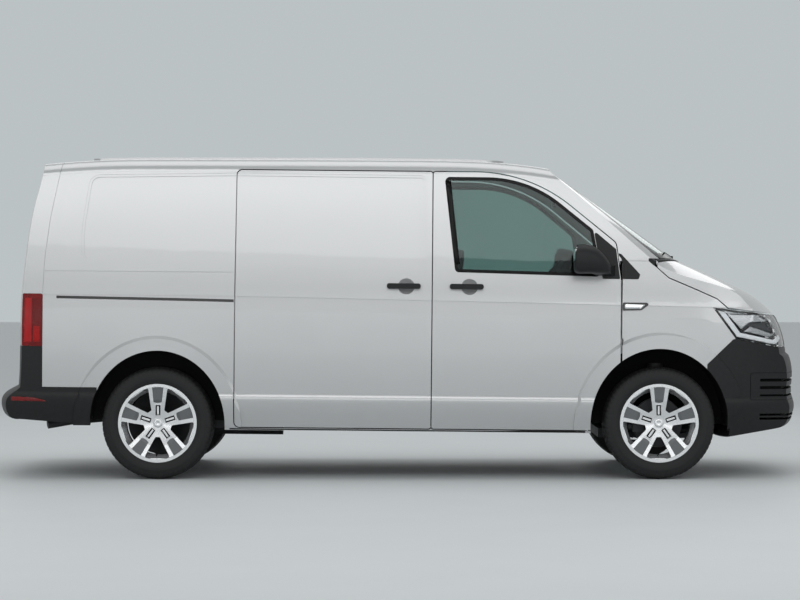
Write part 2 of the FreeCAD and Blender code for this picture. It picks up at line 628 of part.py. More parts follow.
roof = right.common(box(-BIG, BIG, -ROOF_SEAM + FIT, 0, HEADER + FIT, BIG))
for cutter in (side_in, tail_hole, screen_hole, screen_seat):
    roof = roof.cut(cutter)
raised = chunk(side_form(0, -11), -BIG, BIG, 1860).cut(side_form(0, 6)).common(
    upward([(R - 430, -655, 60), (F - 930, -655, 160), (F - 930, 0), (R - 430, 0)], 1860, 2000))
x, z = TAIL_PIN
y = -430
bracket = fuse(box(x, x + 84, y - 7, y + 7, z - 8, z + 8), box(x + 66, x + 84, y - 7, y + 7, z - 8, z + 78),
               rod((x, y - 7, z), (x, y + 7, z), 8), rod((x, y - 22, z), (x, y + 22, z), PIN))
pieces["roof_panel"] = halves(roof.multiFuse([raised, bracket]))
screen = profile_form().common(along(SCREEN, F - 760, F + 400)).common(RIGHT)
pieces["windscreen"] = halves(screen.cut(profile_form(0, 0, size("screen_pane"), 15)))
nose = chunk(right, F - 300, F + 1100)
nose_wall = nose.cut(wing_in)
cowl = nose_wall.common(box(F - 74 + FIT, F + 300, -905, 0, 1180, 1335)).cut(ahead_of_cowl(HINGE_GAP + 6))
cowl = cowl.cut(across(WING, FIT))
BONNET_PIN = (F - 27, 1319)
bx, bz = BONNET_PIN
cowl = cowl.cut(box(bx - 14, bx + 90, -877, -854, 1200, 1400))
pieces["cowl"] = halves(cowl.multiFuse([rod((bx, -886, bz), (bx, -845, bz), PIN)]))

# Wings, bonnet, lamps, grille and bumpers

bonnet = nose_wall.common(across(BONNET_SIDE, -GAP)).common(ahead_of_cowl(0))
ear = across([(bx - 7, bz + 2), (bx - 5, bz - 6), (bx + 16, bz - 33), (bx + 60, bz - 57), (bx + 60, bz - 33),
              (bx + 20, bz - 14), (bx + 3, bz + 6)], 0, -874, -858)
ear = ear.common(plain).cut(rod((bx, -900, bz), (bx, -800, bz), PIN + FIT))
pieces["bonnet"] = halves(bonnet.multiFuse([ear]))
wing = nose_wall.common(across(WING)).cut(front_arch).cut(across(LAMP, FIT)).cut(across(BUMPER_SIDE, FIT))
for flared, z0, z1 in ((size("flare"), 480, 855), (0, 855, 1340)):
    swing = math.hypot(size("door_set"), HALF + 1 + flared + PIN_Y) + 5
    wing = wing.cut(rod((PIN_X, PIN_Y, z0), (PIN_X, PIN_Y, z1), swing))
INDICATOR = [(F - 228, 1070, 6), (F - 82, 1070, 10), (F - 72, 1058, 8), (F - 115, 1026, 16), (F - 228, 1022, 6)]
repeater_in = side_form(6)
pieces["wings"] = both(wing.cut(across(INDICATOR, FIT).cut(side_form(6 + FIT))))
pieces["indicators"] = both(side_form(-3).common(across(INDICATOR)).cut(repeater_in))
lamp_end = along([(-470, 1150), (-1000, 1150), (-1000, 760), (-554, 760)], F, F + 1000)
lamp_in = body_form(60, 38, 56, 50, 60, 50)
headlamp = nose.common(across(LAMP)).common(lamp_end).cut(across(BONNET_SIDE, 2)).cut(lamp_in)
pieces["headlamps"] = both(headlamp)
grille = nose_wall.common(along(GRILLE, F + 500, F + 1000, -FIT)).cut(across(BONNET_SIDE, 2))
slots = [box(F + 500, F + 1000, -400 - 10 * k, 0, 938 - 48 * k, 962 - 48 * k) for k in range(4)]
pieces["grille"] = halves(grille.cut(Part.makeCompound(slots)))
bumper = nose_wall.common(across(BUMPER_SIDE)).cut(front_arch).cut(along(GRILLE, F + 300, F + 1000))
bumper = bumper.cut(across(LAMP, FIT))
mouths = [box(F + 609, F + 1000, -BIG, 0, z, z + tall) for z, tall in ((602, 18), (557, 18), (513, 12))]
mouths += [box(F + 609, F + 1000, -BIG, 0, z, z + 14) for z in (372, 396)]
pieces["bumper_front"] = halves(bumper.cut(Part.makeCompound(mouths)))
rear_corner = chunk(right, -BIG, R - 300)
rear_bumper = rear_corner.common(across(BUMPER_REAR)).cut(wing_in).cut(tail_prism(GAP)).cut(rear_arch)
pieces["bumper_rear"] = halves(rear_bumper)
pieces["tail_lamps"] = both(rear_corner.common(across(TAIL_LAMP)).cut(lamp_in).cut(tail_prism(GAP + 1)))

# Tailgate

gate_skin = rear_corner.common(tail_prism()).cut(skin_in)
gate_inner = chunk(skin_in, -BIG, R - 300).common(tail_prism(-14)).common(RIGHT).cut(side_in)
rear_slot = profile_form(0, size("pane_set") - FIT).common(along(TAIL_GLASS, -BIG, R - 500, 12 + FIT))
rear_slot = rear_slot.cut(profile_form(0, size("pane_set") + size("pane") + FIT))
gate = gate_skin.multiFuse([gate_inner]).cut(along(TAIL_GLASS, -BIG, R - 500)).cut(rear_slot)
x, z = TAIL_PIN
gate = gate.cut(box(x - 10, x + 200, y - 14, y + 14, z - 15, TAIL_TOP + 10))
gate = gate.cut(rod((x, y - 24, z), (x, y + 24, z), PIN + FIT))
plate_recess = along([(-270, 700, 20), (-270, 845, 20), (270, 845, 20), (270, 700, 20)], -BIG, R - 500)
pieces["tailgate"] = halves(gate.cut(plate_recess.cut(profile_form(0, 10))))
rear_pane = profile_form(0, size("pane_set")).common(along(TAIL_GLASS, -BIG, R - 500, 12)).common(RIGHT)
pieces["glass_rear"] = halves(rear_pane.cut(profile_form(0, size("pane_set") + size("pane"))))
strip_zone = along([(-330, 1010, 14), (-330, 1062, 14), (330, 1062, 14), (330, 1010, 14)], -BIG, R - 500)
tail_strip = profile_form(0, -16).common(strip_zone).common(RIGHT)
pieces["handle_tail"] = halves(tail_strip.cut(profile_form(0, -FIT)))

# Wheel houses, floor, bulkheads and the frame under them

liner_front = arch_prism(True, HOUSE, LINER_FRONT, -498).cut(arch_prism(True, 6, LINER_FRONT, -508))
liner_rear = arch_prism(False, HOUSE, LINER_REAR, -650).cut(arch_prism(False, 6, LINER_REAR, -660))
liner_rear = liner_rear.cut(rod((R, -700, R_HUB), (R, -600, R_HUB), 70))
above = box(-BIG, BIG, -BIG, BIG, 330, BIG)
liners = [liner_front.common(above), liner_rear.common(above)]
houses = [arch_prism(True, HOUSE + FIT, -BIG, -498 + FIT), arch_prism(False, HOUSE + FIT, -BIG, -650 + FIT)]
houses += [mirrored(h) for h in houses]


def clear(shape):
    """A piece cut back from the four wheel houses."""
    for house in houses:
        shape = shape.cut(house)
    return shape


pieces["wheel_liners"] = Part.makeCompound(liners + [mirrored(h) for h in liners])
hold = side_form(WALL + 47 + 2 * FIT, size("roof_wall") + 24 + 4 * FIT)


def held(shape):
    """A full width piece trimmed to the inside of the two side frames."""
    return halves(shape.common(RIGHT).common(hold)).removeSplitter()


load_floor = box(R - 776, DOOR_REAR - 40, -BIG, BIG, FLOOR - PLATE, FLOOR)
cab_floor = box(DOOR_REAR - 40, F - 240 - FIT, -BIG, BIG, FLOOR_LOW, FLOOR_LOW + PLATE)
riser = box(DOOR_REAR - 40, DOOR_REAR - 20, -BIG, BIG, FLOOR_LOW, FLOOR)
pieces["floor_pan"] = clear(held(fuse(load_floor, cab_floor, riser)))
rails = []
for y in (-430, 430):
    rails.append(box(DOOR_REAR - 60, F - 600, y - 40, y + 40, FLOOR - 160, FLOOR_LOW - FIT))
    rails.append(box(R - 780, DOOR_REAR - 60, y - 40, y + 40, FLOOR - 160, FLOOR - PLATE - FIT))
for x in (R - 700, R + 520, -200, F - 900, F - 640):
    rails.append(box(x - 30, x + 30, -760 + FIT, 760 - FIT, FLOOR - 150, FLOOR_LOW - FIT))
pieces["underframe"] = clear(fuse(*rails))
pieces["bulkhead"] = held(box(DOOR_REAR - 20 + FIT, DOOR_REAR + 4, -BIG, BIG, FLOOR_LOW + PLATE + FIT, 1868))
fire = clear(held(box(F - 240, F - 216, -BIG, BIG, FLOOR_LOW, 1245)))
AHEAD_OF_CORE = F + size("radiator_ahead") + 70
longs = [box(F - 217, AHEAD_OF_CORE + 30, y - 35, y + 35, 430, 560) for y in (-440, 440)]
carrier = box(AHEAD_OF_CORE, AHEAD_OF_CORE + 40, -500, 500, 440, 920)
carrier = carrier.cut(box(F + 500, F + 800, -400, 400, 520, 860))
pieces["front_structure"] = fuse(fire, carrier, *longs)

# Cab

dash = across([(F - 240 - FIT, 950), (F - 240 - FIT, 1225), (F - 480, 1200, 60), (F - 560, 1110, 60),
               (F - 520, 960, 40)], 0, -760, 760)
WHEEL_C = Vector(F - 640, 400, 1180)
COLUMN = Vector(0.74, 0, -0.67).normalize()
dash = dash.cut(Part.makeCylinder(24 + FIT, 140, WHEEL_C + COLUMN * 20, COLUMN))
pieces["dashboard"] = dash
spokes = [rod(tuple(WHEEL_C + Vector(0, s * 30, 0)), tuple(WHEEL_C + Vector(0, s * 178, 0)), 11) for s in (-1, 1)]
down_dir = COLUMN.cross(Vector(0, 1, 0))
spokes.append(rod(tuple(WHEEL_C), tuple(WHEEL_C + down_dir * (-178 if down_dir.z > 0 else 178)), 12))
pieces["steering_wheel"] = fuse(Part.makeTorus(185, 15, WHEEL_C, COLUMN),
                                Part.makeCylinder(52, 40, WHEEL_C - COLUMN * 14, COLUMN),
                                Part.makeCylinder(24, 130, WHEEL_C + COLUMN * 20, COLUMN), *spokes)


def seat(y0, y1):
    base = across([(F - 1220, 632), (F - 1220, 800), (F - 790, 830, 50), (F - 770, 780, 40), (F - 785, 690)],
                  0, y0, y1)
    back = across([(F - 1250, 800), (F - 1340, 1420, 30), (F - 1255, 1440, 40), (F - 1120, 800)], 0, y0, y1)
    stand = box(F - 1205, F - 830, y0 + 20, y1 - 20, FLOOR_LOW + PLATE + FIT, 640)
    rests = []
    count = 2 if y1 - y0 > 700 else 1
    for k in range(count):
        y = y0 + (y1 - y0) * (k + 0.5) / count
        rests.append(upward([(F - 1345, y - 125, 30), (F - 1250, y - 125, 40), (F - 1250, y + 125, 40),
                             (F - 1345, y + 125, 30)], 1460, 1640))
        rests += [box(F - 1305, F - 1290, y + s, y + s + 14, 1400, 1480) for s in (-60, 46)]
    return fuse(base, back, stand, *rests)


pieces["seats"] = Part.makeCompound([seat(160, 670), seat(-700, 90)])

# Engine, radiator and tank: primitives bound to the sheet, in the level frame

AHEAD = ("((sizes.wheelbase + sizes.rear_overhang - sizes.front_overhang) / 2 * cos(sizes.stance * 1 deg)"
         " - sizes.tyre_radius * sin(sizes.stance * 1 deg))")


def bound(kind, name, **cells):
    """Document primitive whose properties follow expressions; a double underscore stands for a dot."""
    made = doc.addObject(kind, name)
    for key, text in cells.items():
        made.setExpression(key.replace("__", "."), text)
    return made


def block(name, length, width, height, x, y, z):
    return bound("Part::Box", name, Length=length, Width=width, Height=height, Placement__Base__x=x,
                 Placement__Base__y=y, Placement__Base__z=z)


def joined(name, *members):
    made = doc.addObject("Part::MultiFuse", name)
    made.Shapes = list(members)
    made.Refine = True
    return made


engine = block("engine_core", "sizes.engine_length", "sizes.engine_width", "sizes.engine_height",
               AHEAD + " - sizes.engine_behind", "-sizes.engine_width / 2", "sizes.engine_bottom")
foot = "sizes.engine_foot"
MOUNT_OUT = "(sizes.engine_width / 2 + 25 - sizes.fit)"
feet = [block(f"engine_mount_{hand}", foot, MOUNT_OUT, foot, AHEAD + " + 100", start, "sizes.engine_bottom + 70")
        for hand, start in (("right", "-" + MOUNT_OUT), ("left", "0"))]
core = block("radiator_core", "sizes.radiator_depth", "sizes.radiator_width", "sizes.radiator_height",
             AHEAD + " + sizes.radiator_ahead", "-sizes.radiator_width / 2", "470")
stay = "(70 - sizes.fit - sizes.radiator_depth + 5)"
stays = [block(f"radiator_stay_{i}{k}", stay, "40", "30",
               AHEAD + " + sizes.radiator_ahead + sizes.radiator_depth - 5", y, z)
         for i, y in enumerate(("-330", "290")) for k, z in enumerate(("480", "865"))]
tank_box = block("tank_box", "sizes.tank_length", "sizes.tank_width", "sizes.tank_height", "-300", "60", "262")
doc.recompute()
tank = doc.addObject("Part::Fillet", "tank_rounded")
tank.Base = tank_box
tank.Edges = [(k + 1, size("tank_radius"), size("tank_radius")) for k, edge in enumerate(tank_box.Shape.Edges)
              if edge.BoundBox.ZLength > 1 or edge.BoundBox.ZMax < 300]
made_here = {
    "engine_block": joined("engine_block", engine, *feet),
    "radiator": joined("radiator", core, *stays),
    "fuel_tank": tank,
}

# Subframes, axle and exhaust

sub = box(F - 330, F + 330, -420, 420, 235, 290).cut(box(F - 200, F + 200, -330, 330, 200, 400))
feet = [box(x - 40, x + 40, y - 18, y + 18, 285, 430 - FIT) for x in (F - 180, F + 280) for y in (-402, 402)]
SY = size("steer_axis")
wishbone = upward([(F - 150, -415), (F - 40, -SY + 40, 60), (F - 9, -SY - 4, 6), (F + 9, -SY - 4, 6),
                   (F + 30, -SY + 40, 30), (F + 240, -415)], 240, 270)
joint = fuse(rod((F, -SY, 240), (F, -SY, 272), 12), rod((F, -SY, 272), (F, -SY, 294), 9))
strut = fuse(rod((F, -612, 262), (F, -600, 560), 26), rod((F, -600, 520), (F, -592, 700), 48))
arm = fuse(wishbone, joint, strut)
pieces["front_subframe"] = fuse(sub, arm, mirrored(arm), *feet)
drum = rod((R, -742, R_HUB), (R, -716, R_HUB), 147)
hub = rod((R, -TRACK - 25 + 2 * FIT, R_HUB), (R, -600, R_HUB), 62)
trail = fuse(box(R - 30, R + 550, -600, -545, R_HUB - 40, R_HUB + 28),
             box(R + 492, R + 548, -600, -545, R_HUB, FLOOR - 150 - FIT),
             rod((R - 10, -500, R_HUB), (R - 10, -500, FLOOR - 170), 52))
pieces["rear_axle"] = fuse(rod((R, -640, R_HUB), (R, 640, R_HUB), 38), drum, hub, trail,
                           mirrored(drum), mirrored(hub), mirrored(trail))
hangers = [box(x - 8, x + 8, -158, -142, 300, FLOOR - 150 - FIT) for x in (R + 520, -200, F - 640)]
TAIL_PIPE = [(R + 200, -150, 296), (R + 60, -180, 408), (R - 80, -215, 408), (R - 300, -330, 330),
             (R - 560, -520, 312), (R - 700, -570, 288)]
pipes = [rod(p, q, 25) for p, q in zip(TAIL_PIPE, TAIL_PIPE[1:])]
pipes += [Part.makeSphere(25, Vector(*p)) for p in TAIL_PIPE[1:-1]]
pieces["exhaust"] = fuse(rod((F - 500, -150, 310), (R + 700, -150, 296), 27),
                         rod((R + 720, -150, 296), (R + 180, -150, 296), 78), *pipes, *hangers)

# Wheels

TR = size("tyre_radius")
TW = size("tyre_width") / 2
RR = size("rim_radius")
RW = size("rim_width") / 2
SEAT = RR - 8


def turned(runs, x, z):
    """Solid of revolution about a wheel's axle: runs of (offset outboard, radius) points, two make a line."""
    edges = []
    for run in runs:
        points = [(x, -TRACK - a, z + r) for a, r in run]
        edges += [spline(points)] if len(points) > 2 else polyline(points)
    return Part.Face(Part.Wire(edges)).revolve(Vector(x, -TRACK, z), Vector(0, 1, 0), 360)


def tyre(x, z):
    half = [(RW + 2, RR + 3), (TW - 4, RR + 24), (TW, RR + 44), (TW - 5, TR - 30), (TW - 18, TR - 10)]
    crown = [(TW - 18, TR - 10), (TW - 48, TR - 2), (0, TR), (48 - TW, TR - 2), (18 - TW, TR - 10)]
    bead = [(RW - 8.5, SEAT + FIT), (RW - 4.5, RR + 0.5), (RW + 1.5, RR + 0.5), half[0]]
    runs = [[(8.5 - RW, SEAT + FIT), bead[0]]] + [[a, b] for a, b in zip(bead, bead[1:])] + [half, crown]
    runs += [[(-a, b) for a, b in reversed(half)]]
    runs += [[(-b[0], b[1]), (-a[0], a[1])] for a, b in reversed(list(zip(bead, bead[1:])))]
    return turned(runs, x, z)


def rim(x, z):
    ring = [(RW - 8, SEAT), (RW - 4, RR), (RW + 1, RR), (RW + 1, RR - 18), (RW - 6, RR - 21), (RW - 34, RR - 24),
            (RW - 60, RR - 44), (-RW + 30, RR - 40), (-RW + 14, RR - 20), (-RW - 1, RR - 10), (-RW - 1, RR),
            (4 - RW, RR), (8 - RW, SEAT)]
    barrel = turned([[a, b] for a, b in zip(ring, ring[1:] + ring[:1])], x, z)
    disc = [(25, 0), (60, 0), (60, 32), (66, 60), (84, 140), (RW - 3, RR - 19), (RW - 24, RR - 24), (52, 140),
            (34, 80), (25, 72)]
    plate = turned([[a, b] for a, b in zip(disc, disc[1:] + disc[:1])], x, z)
    windows = []
    panels = []
    for k in range(5):
        wedge = across([(x - 14, z + 84, 8), (x - 80, z + RR - 25, 12), (x + 80, z + RR - 25, 12), (x + 14, z + 84, 8)],
                       0, -TRACK - 300, -TRACK + 60)
        wedge.rotate(Vector(x, 0, z), Vector(0, 1, 0), 36 + 72 * k)
        windows.append(wedge)
        sink = across([(x - 24, z + 112), (x - 37, z + RR + 5), (x + 37, z + RR + 5), (x + 24, z + 112)],
                      0, -TRACK - 300, -TRACK - 40)
        slot = across([(x - 14, z + 44, 4), (x - 18, z + 108, 4), (x + 18, z + 108, 4), (x + 14, z + 44, 4)],
                      0, -TRACK - 300, -TRACK - 48)
        for cutter in (sink, slot):
            cutter.rotate(Vector(x, 0, z), Vector(0, 1, 0), 72 * k)
        panels.append(sink)
        windows.append(slot)
    low = [(0, 0), (58, 0), (60, 60), (78, 140), (RW - 10, RR - 14), (RW - 10, RR + 20), (0, RR + 20)]
    floor_disc = turned([[a, b] for a, b in zip(low, low[1:] + low[:1])], x, z)
    sinks = Part.makeCompound([p.cut(floor_disc) for p in panels])
    plate = plate.cut(Part.makeCompound(windows)).cut(sinks)
    return fuse(barrel, plate)


for end, x, z in (("front", F, F_HUB), ("rear", R, R_HUB)):
    for name, shape in (("tyre", tyre(x, z)), ("rim", rim(x, z))):
        pieces[f"{name}_{end}_right"] = shape
        pieces[f"{name}_{end}_left"] = mirrored(shape)
knuckle = fuse(rod((F, -TRACK - 25 + 2 * FIT, F_HUB), (F, -SY + 12, F_HUB), 60),
               rod((F, -SY - 38, F_HUB), (F, -SY - 20, F_HUB), 148),
               box(F - 30, F + 30, -SY - 24, -SY + 30, 276, F_HUB + 130),
               box(F - 150, F - 84, -SY - 60, -SY - 14, F_HUB - 60, F_HUB + 60),
               box(F - 178, F - 90, -SY - 36, -SY - 20, F_HUB - 40, F_HUB - 16))
knuckle = knuckle.cut(rod((F, -SY, 200), (F, -SY, 300), 9 + FIT))
pieces["knuckle_right"] = knuckle
for name in ("door", "glass", "mirror", "handle", "knuckle"):
    pieces[f"{name}_left"] = mirrored(pieces[f"{name}_right"])

for name, shape in pieces.items():
    made_here[name] = doc.addObject("Part::Feature", name)
    made_here[name].Shape = shape
for name, item in made_here.items():
    item.Label = name
    item.Placement = STANCE.multiply(item.Placement)
doc.recompute()

for item in doc.Objects:
    if "Invalid" in item.State or "Error" in item.State:
        raise RuntimeError("not recomputed: " + item.Label)
for name, item in made_here.items():
    shape = item.Shape
    print(name, len(shape.Solids), round(shape.Volume / 1e6, 2))
    if shape.isNull() or not shape.isValid():
        raise RuntimeError("bad shape: " + name)
    shape.exportStep(f"parts/{name}.step")
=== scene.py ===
"""Panel van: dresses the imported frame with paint, glass, rubber, lamps and trim, for a studio view."""
import bpy
import bmesh
import json
import math
from mathutils import Matrix, Vector

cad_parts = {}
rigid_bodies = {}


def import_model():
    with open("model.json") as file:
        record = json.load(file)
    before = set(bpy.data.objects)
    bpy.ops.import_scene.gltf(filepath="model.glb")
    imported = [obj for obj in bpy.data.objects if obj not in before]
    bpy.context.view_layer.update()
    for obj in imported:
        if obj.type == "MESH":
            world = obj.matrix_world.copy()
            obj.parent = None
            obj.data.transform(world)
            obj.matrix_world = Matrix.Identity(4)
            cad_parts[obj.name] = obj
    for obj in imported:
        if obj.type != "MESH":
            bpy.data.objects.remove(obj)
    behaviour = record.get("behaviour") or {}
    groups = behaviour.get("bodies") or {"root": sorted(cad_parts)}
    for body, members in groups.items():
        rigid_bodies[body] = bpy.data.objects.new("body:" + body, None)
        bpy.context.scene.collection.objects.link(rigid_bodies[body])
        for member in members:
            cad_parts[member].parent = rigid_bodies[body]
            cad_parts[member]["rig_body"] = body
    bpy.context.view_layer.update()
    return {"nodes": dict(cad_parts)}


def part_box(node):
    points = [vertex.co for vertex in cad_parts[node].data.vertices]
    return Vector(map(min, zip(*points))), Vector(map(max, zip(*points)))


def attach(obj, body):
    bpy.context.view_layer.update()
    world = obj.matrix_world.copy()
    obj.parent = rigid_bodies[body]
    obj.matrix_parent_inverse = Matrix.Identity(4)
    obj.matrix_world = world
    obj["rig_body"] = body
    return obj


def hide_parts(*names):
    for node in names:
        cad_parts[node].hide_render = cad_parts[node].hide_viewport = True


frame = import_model()
nodes = frame["nodes"]
PITCH = math.radians(0.55)
scene = bpy.context.scene


# Materials

def material(name, colour, rough=0.5, metal=0.0, coat=0.0, grain=0.0, scale=60.0, bump=0.0, bump_scale=200.0,
             **sockets):
    """Principled material with a procedural mottle in its colour and roughness and a fine bump."""
    made = bpy.data.materials.new(name)
    made.use_nodes = True
    tree = made.node_tree
    shader = tree.nodes["Principled BSDF"]
    shader.inputs["Base Color"].default_value = (*colour, 1)
    shader.inputs["Metallic"].default_value = metal
    shader.inputs["Roughness"].default_value = rough
    shader.inputs["Coat Weight"].default_value = coat
    for key, value in sockets.items():
        shader.inputs[key.replace("_", " ")].default_value = value
    coords = tree.nodes.new("ShaderNodeTexCoord")
    if grain:
        mottle = tree.nodes.new("ShaderNodeTexNoise")
        mottle.inputs["Scale"].default_value = scale
        mottle.inputs["Detail"].default_value = 6
        ramp = tree.nodes.new("ShaderNodeValToRGB")
        dark, light = ramp.color_ramp.elements
        dark.position, light.position = 0.3, 0.7
        dark.color = (*[c * (1 - grain) for c in colour], 1)
        light.color = (*[min(1, c * (1 + grain)) for c in colour], 1)
        tree.links.new(coords.outputs["Object"], mottle.inputs["Vector"])
        tree.links.new(mottle.outputs["Fac"], ramp.inputs["Fac"])
        tree.links.new(ramp.outputs["Color"], shader.inputs["Base Color"])
        spread = tree.nodes.new("ShaderNodeMapRange")
        spread.inputs["To Min"].default_value = max(0.02, rough * (1 - grain))
        spread.inputs["To Max"].default_value = min(1.0, rough * (1 + grain))
        tree.links.new(mottle.outputs["Fac"], spread.inputs["Value"])
        tree.links.new(spread.outputs["Result"], shader.inputs["Roughness"])
    if bump:
        fine = tree.nodes.new("ShaderNodeTexNoise")
        fine.inputs["Scale"].default_value = bump_scale
        fine.inputs["Detail"].default_value = 4
        relief = tree.nodes.new("ShaderNodeBump")
        relief.inputs["Strength"].default_value = bump
        relief.inputs["Distance"].default_value = 0.001
        tree.links.new(coords.outputs["Object"], fine.inputs["Vector"])
        tree.links.new(fine.outputs["Fac"], relief.inputs["Height"])
        tree.links.new(relief.outputs["Normal"], shader.inputs["Normal"])
    return made


PAINT = material("silver_paint", (0.53, 0.535, 0.54), 0.29, metal=0.65, coat=1.0, grain=0.03, scale=900,
                 bump=0.03, bump_scale=1500, Coat_Roughness=0.02)
BLACK = material("black_plastic", (0.012, 0.0122, 0.013), 0.45, grain=0.12, scale=40, bump=0.3,
                 bump_scale=700, Specular_IOR_Level=0.28)
GLOSS = material("gloss_black", (0.006, 0.006, 0.0065), 0.10, grain=0.05, scale=30, Specular_IOR_Level=0.4)
FRIT = material("glass_border", (0.005, 0.005, 0.0055), 0.2, grain=0.05, scale=30, Specular_IOR_Level=0.15)
RUBBER = material("seal_rubber", (0.006, 0.006, 0.006), 0.75, grain=0.1, scale=80, bump=0.2,
                  Specular_IOR_Level=0.2)
TYRE = material("tyre_rubber", (0.012, 0.012, 0.0125), 0.62, grain=0.18, scale=25, bump=0.5, bump_scale=500,
                Specular_IOR_Level=0.35)
GLASS = material("tinted_glass", (0.34, 0.50, 0.47), 0.01, grain=0.02, scale=3, Transmission_Weight=1.0,
                 IOR=1.45)
PRIVACY = material("rear_glass", (0.20, 0.29, 0.27), 0.01, grain=0.02, scale=3, Transmission_Weight=1.0,
                   IOR=1.45)
CLEAR = material("lamp_cover", (0.96, 0.97, 0.98), 0.01, grain=0.01, scale=5, Transmission_Weight=1.0,
                 IOR=1.06, Coat_Weight=0.6, Coat_Roughness=0.02)
RED = material("lamp_red", (0.62, 0.012, 0.014), 0.06, coat=0.8, grain=0.06, scale=60, bump=0.2,
               bump_scale=120, Transmission_Weight=0.8, IOR=1.2)
BULB = material("lamp_bulb_cover", (0.80, 0.10, 0.03), 0.2, coat=0.5, grain=0.05, scale=60)
CHROME = material("bright_metal", (0.82, 0.83, 0.84), 0.12, metal=1.0, grain=0.03, scale=60)
BOWL = material("lamp_reflector", (0.46, 0.47, 0.48), 0.22, metal=0.9, grain=0.05, scale=60)
# This white is the headlamps' light guide and also the painted highlight band on the tail lamps
WHITE = material("light_guide_and_painted_highlight", (0.86, 0.88, 0.90), 0.25, coat=0.5, grain=0.02, scale=60)
HOUSING = material("lamp_housing", (0.05, 0.052, 0.056), 0.35, metal=0.3, grain=0.1, scale=60)
PLATE_FINISH = material("blank_plate", (0.70, 0.70, 0.68), 0.4, coat=0.3, grain=0.03, scale=20)
ALLOY = material("wheel_alloy", (0.74, 0.75, 0.76), 0.24, metal=0.8, coat=0.4, grain=0.04, scale=120,
                 bump=0.05)
ALLOY_GREY = material("wheel_grey", (0.13, 0.135, 0.14), 0.4, metal=0.5, grain=0.06, scale=120)
STEEL = material("chassis_steel", (0.035, 0.036, 0.038), 0.6, metal=0.3, grain=0.25, scale=18, bump=0.3)
FLOOR_MAT = material("load_floor", (0.30, 0.31, 0.32), 0.5, metal=0.4, grain=0.08, scale=14, bump=0.2)
CAST = material("cast_metal", (0.20, 0.205, 0.21), 0.5, metal=0.7, grain=0.2, scale=30, bump=0.4,
                bump_scale=300)
DISC = material("brake_disc", (0.36, 0.36, 0.37), 0.3, metal=0.95, grain=0.12, scale=40)
TANK = material("tank_plastic", (0.03, 0.03, 0.032), 0.5, grain=0.1, scale=20, bump=0.3)
TRIM = material("cab_trim", (0.055, 0.057, 0.06), 0.7, grain=0.1, scale=60, bump=0.5, bump_scale=900)
LINING = material("roof_lining", (0.16, 0.165, 0.17), 0.9, grain=0.1, scale=200, bump=0.4, bump_scale=900)
FABRIC = material("seat_fabric", (0.05, 0.053, 0.058), 0.95, grain=0.3, scale=500, bump=0.8, bump_scale=1200,
                  Sheen_Weight=0.3)

FINISH = {
    PAINT: ("door_", "sliding_door", "side_frame_", "roof_panel", "wings", "bonnet", "tailgate"),
    BLACK: ("bumper_", "cowl", "handle_", "mirror_", "trim", "grille"),
    GLASS: ("glass_left", "glass_right", "windscreen"),
    PRIVACY: ("glass_rear",),
    RED: ("tail_lamps",),
    CLEAR: ("headlamps",),
    GLOSS: ("slide_rail", "indicators"),
    TYRE: ("tyre_",),
    ALLOY: ("rim_",),
    STEEL: ("underframe", "front_structure", "front_subframe", "rear_axle", "exhaust", "knuckle_"),
    RUBBER: ("wheel_liners",),
    FLOOR_MAT: ("floor_pan", "bulkhead"),
    CAST: ("engine_block", "radiator"),
    TANK: ("fuel_tank",),
    TRIM: ("dashboard", "steering_wheel"),
    FABRIC: ("seats",),
}
for node_name, node in nodes.items():
    for finish, starts in FINISH.items():
        if node_name.startswith(starts):
            node.data.materials.clear()
            node.data.materials.append(finish)


# Mesh helpers

BLOCK_FACES = [(0, 1, 3, 2), (4, 6, 7, 5), (0, 4, 5, 1), (2, 3, 7, 6), (0, 2, 6, 4), (1, 5, 7, 3)]


def body_of(node_name):
    return nodes[node_name]["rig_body"]


def placed(name, data, body):
    """New object that rides on a body."""
    made = bpy.data.objects.new(name, data)
    scene.collection.objects.link(made)
    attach(made, body)
    return made


def piece(name, points, faces, finish, body, smooth=True):
    """New mesh object that rides on a body."""
    mesh = bpy.data.meshes.new(name)
    mesh.from_pydata([tuple(p) for p in points], [], faces)
    mesh.update()
    mesh.materials.append(finish)
    for polygon in mesh.polygons:
        polygon.use_smooth = smooth
    return placed(name, mesh, body)


def bevel(made, width, segments=3):
    edge = made.modifiers.new("edge", "BEVEL")
    edge.width, edge.segments = width, segments


def shell(made, thickness):
    """Thickness to both sides of a sheet."""
    solid = made.modifiers.new("shell", "SOLIDIFY")
    solid.thickness, solid.offset = thickness, 0


def round_point(centre, angle, radius, offset):
    """Point at an angle and a radius about an axis along Y, and an offset along it."""
    return centre + Vector((radius * math.cos(angle), offset, radius * math.sin(angle)))


def ring_faces(segments, count, last, outward):
    """Faces between neighbouring profiles, of count points each, round an axis."""
    faces = []
    for i in range(segments):
        for j in range(last):
            a, b = i * count + j, i * count + (j + 1) % count
            c, d = (b + count) % (segments * count), (a + count) % (segments * count)
            faces.append((a, b, c, d) if outward > 0 else (d, c, b, a))
    return faces


def lathe(name, profile, centre, outward, finish, body, segments=96, closed=True):
    """Turned ring about an axis along Y: profile holds (offset outboard, radius) points."""
    points = []
    count = len(profile)
    for i in range(segments):
        angle = 2 * math.pi * i / segments
        points += [round_point(centre, angle, radius, outward * offset) for offset, radius in profile]
    faces = ring_faces(segments, count, count if closed else count - 1, outward)
    return piece(name, points, faces, finish, body)


def levelled(x, y, z):
    """Point of the level frame of the bodywork in metres, put into the row frame."""
    return Vector((x * math.cos(PITCH) + z * math.sin(PITCH), y, -x * math.sin(PITCH) + z * math.cos(PITCH)))


